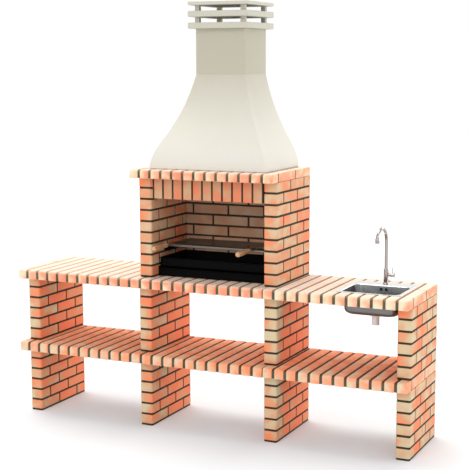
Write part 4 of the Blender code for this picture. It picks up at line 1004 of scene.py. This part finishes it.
# %% [markdown]
# ## Cooking grill
# The grill is a bent wire frame with thin rods welded across it, and a tang at each front corner. Zinc
# plating leaves it dull. Curves with a round bevel could make every wire. The frame and the tangs are
# swept, and the rods repeat, so the laying tree sets them. The bars under it are plain round stock.

# %% Cooking grill
FRAME_WIRE = 6 * MM
ROD = 4 * MM
ROD_PITCH = 16.5 * MM
GRILL_CORNER = 15 * MM
GRILL_DEPTH = 268 * MM
WELD = 1 * MM
CORNER_INSET = 12 * MM
grill_low, grill_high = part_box("cooking_grill")
wire_z = grill_low.z + FRAME_WIRE / 2
grill_front = grill_high.y - GRILL_DEPTH
inset = Vector((FRAME_WIRE / 2, FRAME_WIRE / 2, 0))
frame_low = Vector((grill_low.x, grill_front, 0)) + inset
frame_high = Vector((grill_high.x, grill_high.y, 0)) - inset
bm = bmesh.new()
frame_path = rounded_ring(frame_low, frame_high, GRILL_CORNER, wire_z)
add_swept(bm, frame_path, UP, FRAME_WIRE / 2, 12, closed=True)
for x in (grill_low.x + CORNER_INSET, grill_high.x - CORNER_INSET):
    path = [(x, grill_front + FRAME_WIRE / 2, wire_z), (x, grill_low.y, wire_z)]
    add_swept(bm, path, UP, FRAME_WIRE / 2, 12)
grill = finish_mesh("grill_frame_and_rods", bm, zinc_wire, 40)
bm = bmesh.new()
add_swept(bm, [(0, WELD, 0), (0, GRILL_DEPTH - WELD, 0)], UP, ROD / 2, 10)
rod = stock_shape("0_rod", bm, zinc_wire, ROD / 8, segments=1, angle=60, smooth_angle=40)
rod_stock = make_stock("grill_rods", [rod])
room = frame_high.x - frame_low.x - 2 * GRILL_CORNER
rod_count = round(room / ROD_PITCH) + 1
rod_z = wire_z + FRAME_WIRE / 2 + ROD / 2 - WELD
rows = [((frame_low.x + GRILL_CORNER + room * i / (rod_count - 1), grill_front, rod_z), 0, 0.0, LEVEL)
        for i in range(rod_count)]
join(grill, lay("grill_rods", rows, rod_stock, zinc_wire, seed=160, looseness=0.1 * MM, tilt=0.0))
place_piece(grill, "cooking_grill", "grill")
for name in ("front", "rear"):
    low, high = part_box(f"grill_cross_bar_{name}")
    bm = bmesh.new()
    middle = (low + high) / 2
    add_swept(bm, [(low.x, middle.y, middle.z), (high.x, middle.y, middle.z)], UP, (high.z - low.z) / 2, 20)
    bar = finish_mesh(f"{name}_cross_bar", bm, zinc_wire, 40)
    place_piece(bar, f"grill_cross_bar_{name}")
print("grill rods", rod_count)

# %% [markdown]
# ## Grill handles
# Each grip is beech, turned on a lathe: a slim neck with a bead, a swelling for the palm and a rounded end.
# It is bored for the tang, and grain lines run along it. It could be sculpted from a cylinder, but the real
# one is turned from a profile, and so is this one.

# %% Grill handles
QUARTER = math.pi / 2
NECK = 12 * MM
TANG_BORE = 3.5 * MM
BORE_DEPTH = 50.5 * MM
# How many millimetres thicker than the neck the grip is, at shares of its length
GRIP_SHARES = ((0.1, 0), (0.115, 1.2), (0.13, 1.2), (0.145, 0), (0.3, -0.6), (0.45, 0.6), (0.6, 2.0),
               (0.75, 2.5), (0.9, 2.3))


def in_mm(points, radius=0.0, height=0.0):
    """Profile points given in mm, from a radius and a height in metres."""
    return [(radius + r * MM, height + h * MM) for r, h in points]


def turned_piece(name, node, profile, place, body, material, sides=40, bored=False, smooth_angle=35):
    """One piece turned on a lathe, which stands for one node."""
    bm = bmesh.new()
    add_turned(bm, profile, place, sides, bored)
    place_piece(finish_mesh(name, bm, material, smooth_angle), node, body)


for side_name in ("left", "right"):
    low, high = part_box(f"grill_handle_{side_name}")
    length = high.y - low.y
    stand = Matrix.Translation(((low.x + high.x) / 2, high.y, (low.z + high.z) / 2))
    profile = [(TANG_BORE, BORE_DEPTH), (TANG_BORE, 0), *in_mm(((-1, 0), (0, 1)), NECK)]
    profile += [(NECK + reach * MM, along * length) for along, reach in GRIP_SHARES]
    profile += in_mm(((1.6, 2), (0, 5), (-4, 7.4), (-8, 8)), NECK, length - 8 * MM)
    turned_piece(f"turned_grip_{side_name}", f"grill_handle_{side_name}", profile,
                 stand @ Matrix.Rotation(QUARTER, 4, "X"), "grill", beech, 32, smooth_angle=40)
print("grip length", round(length, 4))

# %% [markdown]
# ## Sink
# The sink is pressed from one 1.2 mm sheet: a flat flange, a rounded lip, walls that taper a little, and a
# wide radius at the bottom that a single press stroke can reach. Two overflow holes are punched in the back
# wall, and a small plastic box catches the overflow behind them, so no light shows through. The box is
# painted black, a painted shade in the holes. The flange is polished, the bowl brushed, and the outside left
# as it came from the press. The flange is also painted near white, a painted highlight, and the bowl and the
# outside a darker grey, a painted shade. A subdivided box could come close, but rings of known size keep
# every radius true, and one cut punches the small holes.

# %% Sink
SINK_SHEET = 1.2 * MM
LIP = 3.5 * MM
TAPER = 10 * MM
BOTTOM_RADIUS = 30 * MM
MOUTH_CORNER = 34 * MM
BOWL_CORNER = 40 * MM
FLANGE_CORNER = 12 * MM
FLANGE_EDGE = 0.5 * MM
WASTE_BORE = 17.5 * MM
SHANK_HOLE = 9 * MM
OVERFLOW = 15 * MM
OVERFLOW_CORNER = 3 * MM
OVERFLOW_SPACING = 29 * MM
OVERFLOW_DROP = 22 * MM
OVERFLOW_OFFSET = 4 * MM
PUNCH_BEHIND = 5 * MM
BOX_MARGIN = 4 * MM
BOX_DEPTH = 10 * MM
BOX_CORNER = 5 * MM
flange_top = sink_high.z
bowl_floor = sink_low.z + SINK_SHEET
bowl_back = bowl_y + BOWL_DEPTH / 2


def bowl_ring(reach, corner, height):
    """The bowl's section, widened by the reach."""
    x, y = BOWL_WIDTH / 2 + reach, BOWL_DEPTH / 2 + reach
    return rounded_ring((bowl_x - x, bowl_y - y), (bowl_x + x, bowl_y + y), corner, height)


def bowl_side(grow):
    """Rings from the lip down to the waste hole. The outer side lies one sheet further out and down."""
    rings = [bowl_ring(u, MOUTH_CORNER + u, v) for u, v in arc((LIP, flange_top - LIP), LIP - grow, 1, 2, 4)]
    centre = (-TAPER - BOTTOM_RADIUS, bowl_floor + BOTTOM_RADIUS)
    rings += [bowl_ring(u, BOWL_CORNER, v) for u, v in arc(centre, BOTTOM_RADIUS + grow, 0, -1, 8)]
    rings.append(rounded_ring((bowl_x - WASTE_BORE, bowl_y - WASTE_BORE),
                              (bowl_x + WASTE_BORE, bowl_y + WASTE_BORE), WASTE_BORE, bowl_floor - grow))
    return rings


edge = [rounded_ring((sink_low.x + d, sink_low.y + d), (sink_high.x - d, sink_high.y - d),
                     FLANGE_CORNER - d, z)
        for d, z in ((FLANGE_EDGE, flange_top), (0, flange_top - FLANGE_EDGE), (0, flange_top - SINK_SHEET))]
rings = edge + bowl_side(SINK_SHEET) + bowl_side(0)[::-1]
sink = loft_piece("pressed_sink", rings, shaded_brushed_steel, 35, True)
punch = bmesh.new()
for turn in (-1, 1):
    x = bowl_x + OVERFLOW_OFFSET + turn * OVERFLOW_SPACING / 2
    z = flange_top - OVERFLOW_DROP
    corners = rounded_ring((x - OVERFLOW / 2, z - OVERFLOW / 2), (x + OVERFLOW / 2, z + OVERFLOW / 2),
                           OVERFLOW_CORNER, 0, 4)
    reaches = (bowl_back - OVERFLOW, bowl_back + PUNCH_BEHIND)
    add_loft(punch, [[Vector((c.x, y, c.y)) for c in corners] for y in reaches])
body_low, body_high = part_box("tap_body")
tap_x = (body_low.x + body_high.x) / 2
tap_y = (body_low.y + body_high.y) / 2
add_turned(punch, [(SHANK_HOLE, flange_top - SHANK_HOLE), (SHANK_HOLE, flange_top + SHANK_HOLE)],
           Matrix.Translation((tap_x, tap_y, 0)))
cut_away(sink, finish_mesh("sink_punch", punch, shaded_brushed_steel, 0))
sink.data.materials.clear()
for finish in (shaded_brushed_steel, highlit_polished_steel, shaded_dull_steel):
    sink.data.materials.append(finish)
# The inside and the outside get the darker steels, a painted shade, and the flange the near-white one, a
# painted highlight
for face in sink.data.polygons:
    outwards = face.normal.dot(face.center - Vector((bowl_x, bowl_y, flange_top))) > 0
    face.material_index = 2 if outwards else 0
    if face.center.z > flange_top - LIP:
        face.material_index = 1
box_half = Vector(((OVERFLOW_SPACING + OVERFLOW) / 2 + BOX_MARGIN, OVERFLOW / 2 + BOX_MARGIN))
box_middle = Vector((bowl_x + OVERFLOW_OFFSET, flange_top - OVERFLOW_DROP))
wall_slope = TAPER / (flange_top - LIP - bowl_floor - BOTTOM_RADIUS)


def box_ring(drawn_in, behind):
    """A ring of the overflow box, so far behind the inner face of the bowl's sloping back wall."""
    inset = Vector((drawn_in, drawn_in))
    low, high = box_middle - box_half + inset, box_middle + box_half - inset
    ring = rounded_ring(low, high, BOX_CORNER - drawn_in, 0, 4)
    return [Vector((c.x, bowl_back - (flange_top - LIP - c.y) * wall_slope + behind, c.y)) for c in ring]


rings = [box_ring(SINK_SHEET, BOX_DEPTH - SINK_SHEET), box_ring(SINK_SHEET, SINK_SHEET / 2),
         box_ring(0, SINK_SHEET / 2), box_ring(0, BOX_DEPTH)]
join(sink, loft_piece("overflow_box", rings, shaded_overflow_plastic, 35))
place_piece(sink, "sink")
print("sink has", len(sink.data.polygons), "faces")

# %% [markdown]
# ## Waste and strainer
# The waste is moulded in one piece, with grip ribs on its collar and a thread's worth of rings on its tail.
# The strainer is a pressed cup with a ring of holes and a knob to lift it by. Stacked cylinders could make
# them, but one profile each, turned, leaves no faces inside.

# %% Waste and strainer
TAIL_RINGS = 5
STRAINER_HOLES = 8
HOLE_RADIUS = 2.2 * MM
HOLE_RING = 9.25 * MM
DRILL_REACH = (-12 * MM, -6 * MM)
waste_low, waste_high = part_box("sink_waste")
profile = in_mm(((17.5, 0), (35.5, 0), (36, -0.5), (36, -4), (35, -4.5), (35, -5.5), (36, -6), (36, -9.5),
                 (35.5, -10), (24, -20), (20.5, -22)))
for i in range(TAIL_RINGS):
    z = -30 - 6 * i
    profile += in_mm(((20.5, z), (19.7, z - 1.5), (19.7, z - 2.5), (20.5, z - 4)))
profile += in_mm(((20.5, 0.5), (20, 0), (17.5, 0)), height=waste_low.z - waste_high.z)
turned_piece("moulded_waste", "sink_waste", profile, Matrix.Translation((bowl_x, bowl_y, waste_high.z)),
             "barbecue", waste_plastic, 48, True)

profile = in_mm(((13.5, -10), (15, -9.6), (16, -8.5), (16, -0.5), (16.5, 0), (32.5, 0), (33, 0.5),
                 (33, 1), (32.5, 1.5), (15.5, 1.5), (14.5, 0.8), (14.5, -7.5), (13.5, -8.5), (5, -8.5),
                 (4, -8), (3, -3), (2.6, 4), (4, 6), (4, 8.5), (3, 10)))
seat = Matrix.Translation((bowl_x, bowl_y, bowl_floor + FIT))
cup = bmesh.new()
add_turned(cup, profile, seat, 48)
strainer = finish_mesh("pressed_strainer", cup, shaded_brushed_steel, 35)
drills = bmesh.new()
for i in range(STRAINER_HOLES):
    turn = Matrix.Rotation(math.tau * i / STRAINER_HOLES, 4, "Z")
    spot = seat @ turn @ Matrix.Translation((HOLE_RING, 0, 0))
    add_turned(drills, [(HOLE_RADIUS, z) for z in DRILL_REACH], spot, 16)
cut_away(strainer, finish_mesh("strainer_drills", drills, shaded_brushed_steel, 0))
place_piece(strainer, "sink_strainer", "strainer")
print("strainer has", len(strainer.data.polygons), "faces")

# %% [markdown]
# ## Tap
# The tap is brass, turned or bent, polished and chromed. Its small steps and grooves catch dark lines,
# which tell the eye that it is round and bright. They could be loop cuts in cylinders, but a profile in
# millimetres says every step in one place. The neck is one bent tube, swept along two arcs.

# %% Tap
NECK_RADIUS = 9 * MM
NECK_ARC = 86 * MM
TIP_BEND = 12 * MM
TIP_END = 3 * MM
NECK_TURN_SHARE = 0.8


def chromed(name, node, profile, place, body="barbecue", sides=40, bored=False):
    """A turned and chromed piece of the tap. Its place is a matrix, or a height on the body's axis."""
    if not isinstance(place, Matrix):
        place = Matrix.Translation((tap_x, tap_y, place))
    turned_piece(name, node, profile, place, body, chrome_painted_warm_reflection, sides, bored)


ring_low, ring_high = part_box("tap_base_ring")
profile = in_mm(((9, 0), (15.5, 0), (16.5, 1), (16.5, 3), (15.8, 4.2), (14.4, 5.2), (13.5, 6), (9, 6)))
chromed("chromed_base_ring", "tap_base_ring", profile, ring_low.z, bored=True)
profile = in_mm(((8, 0),))
profile += in_mm(((8, 0), (12.9, 0), (13.5, 0.6)), height=ring_high.z - body_low.z + FIT)
profile += in_mm(((13.5, -9), (12.9, -8.4), (12.9, -7.4), (13.5, -6.8), (13.5, -2), (12.9, -0.7), (11.5, 0)),
                 height=body_high.z - body_low.z)
chromed("chromed_body", "tap_body", profile, body_low.z)
profile = in_mm(((9, 0), (13, 0), (14, 1), (14, 7), (13, 8), (9, 8)))
chromed("shank_nut", "tap_shank_nut", profile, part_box("tap_shank_nut")[0].z, sides=6, bored=True)

spout_low, spout_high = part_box("tap_spout")
turn = 2 * NECK_TURN_SHARE
centre = Vector((tap_y - NECK_ARC, spout_high.z - NECK_RADIUS - NECK_ARC))
tip_centre = centre + Vector(arc((0, 0), NECK_ARC - TIP_BEND, turn, turn, 1)[0])
bends = arc(centre, NECK_ARC, 0, turn, 40) + arc(tip_centre, TIP_BEND, turn, 2, 8)[1:]
path = [(tap_x, tap_y, spout_low.z)] + [(tap_x, u, v) for u, v in bends]
path.append((tap_x, tip_centre.x - TIP_BEND, tip_centre.y - TIP_END))
bm = bmesh.new()
add_swept(bm, path, (1, 0, 0), NECK_RADIUS, 24)
place_piece(finish_mesh("swan_neck", bm, chrome_painted_warm_reflection, 40), "tap_spout", "spout")
tip_low, tip_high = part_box("tap_aerator")
tip_place = Matrix.Translation((tap_x, (tip_low.y + tip_high.y) / 2, tip_high.z))
profile = in_mm(((9.5, -25), (11.3, -25), (12, -24.2), (12, -18), (11.3, -17.4), (11.3, -16.6), (12, -16),
                 (12, -1), (11.4, 0), (4, 0), (4, -4), (9.5, -6)))
chromed("aerator_sleeve", "tap_aerator", profile, tip_place, "spout", 32, bored=True)

valve_low, valve_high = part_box("tap_valve_neck")
along = Matrix.Translation((valve_low.x, tap_y, (valve_low.z + valve_high.z) / 2))
along = along @ Matrix.Rotation(QUARTER, 4, "Y")
profile = in_mm(((9, 0), (9, 10), (8.4, 10.5), (8.4, 11.5), (9, 12), (9, 13)))
chromed("valve_neck", "tap_valve_neck", profile, along, sides=32)
profile = in_mm(((11.5, 0), (12.5, 1), (12.5, 3.5), (11.9, 4), (11.9, 4.6), (12.5, 5), (12.5, 20.5),
                 (11.5, 21.7), (10, 22), (9.5, 21.6)))
grip_start = Matrix.Translation((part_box("tap_handle")[0].x - valve_low.x, 0, 0))
chromed("valve_grip", "tap_handle", profile, grip_start @ along, "tap_handle", 32)
lever_low, lever_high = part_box("tap_lever")
lever_middle = (lever_low + lever_high) / 2
profile = in_mm(((2.5, 0),)) + in_mm(((2.5, -2), (2.1, -0.7), (1, 0)), height=lever_high.z - lever_low.z)
chromed("lever_pin", "tap_lever", profile, Matrix.Translation((lever_middle.x, lever_middle.y, lever_low.z)),
        "tap_handle", 20)
print("tap height", round(spout_high.z - ring_low.z, 4))

# %% [markdown]
# ## Carried-over nodes
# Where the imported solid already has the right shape, it stays and only gets its real finish. These are the
# cores, the spacer blocks, the folded stand and the two angles. They could be built again, but the eye
# would see no difference.

# %% Finishes of the carried-over nodes
finishes = {"core": core_concrete, "cap_spacer": cap_concrete, "tray_stand": black_steel,
            "grill_support": black_steel}
finished = []
for name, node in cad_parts.items():
    for key, finish in finishes.items():
        if name.startswith(key) or name.endswith("_" + key):
            node.data.materials.clear()
            node.data.materials.append(finish)
            finished.append(name)
print("carried-over pieces", len(finished))
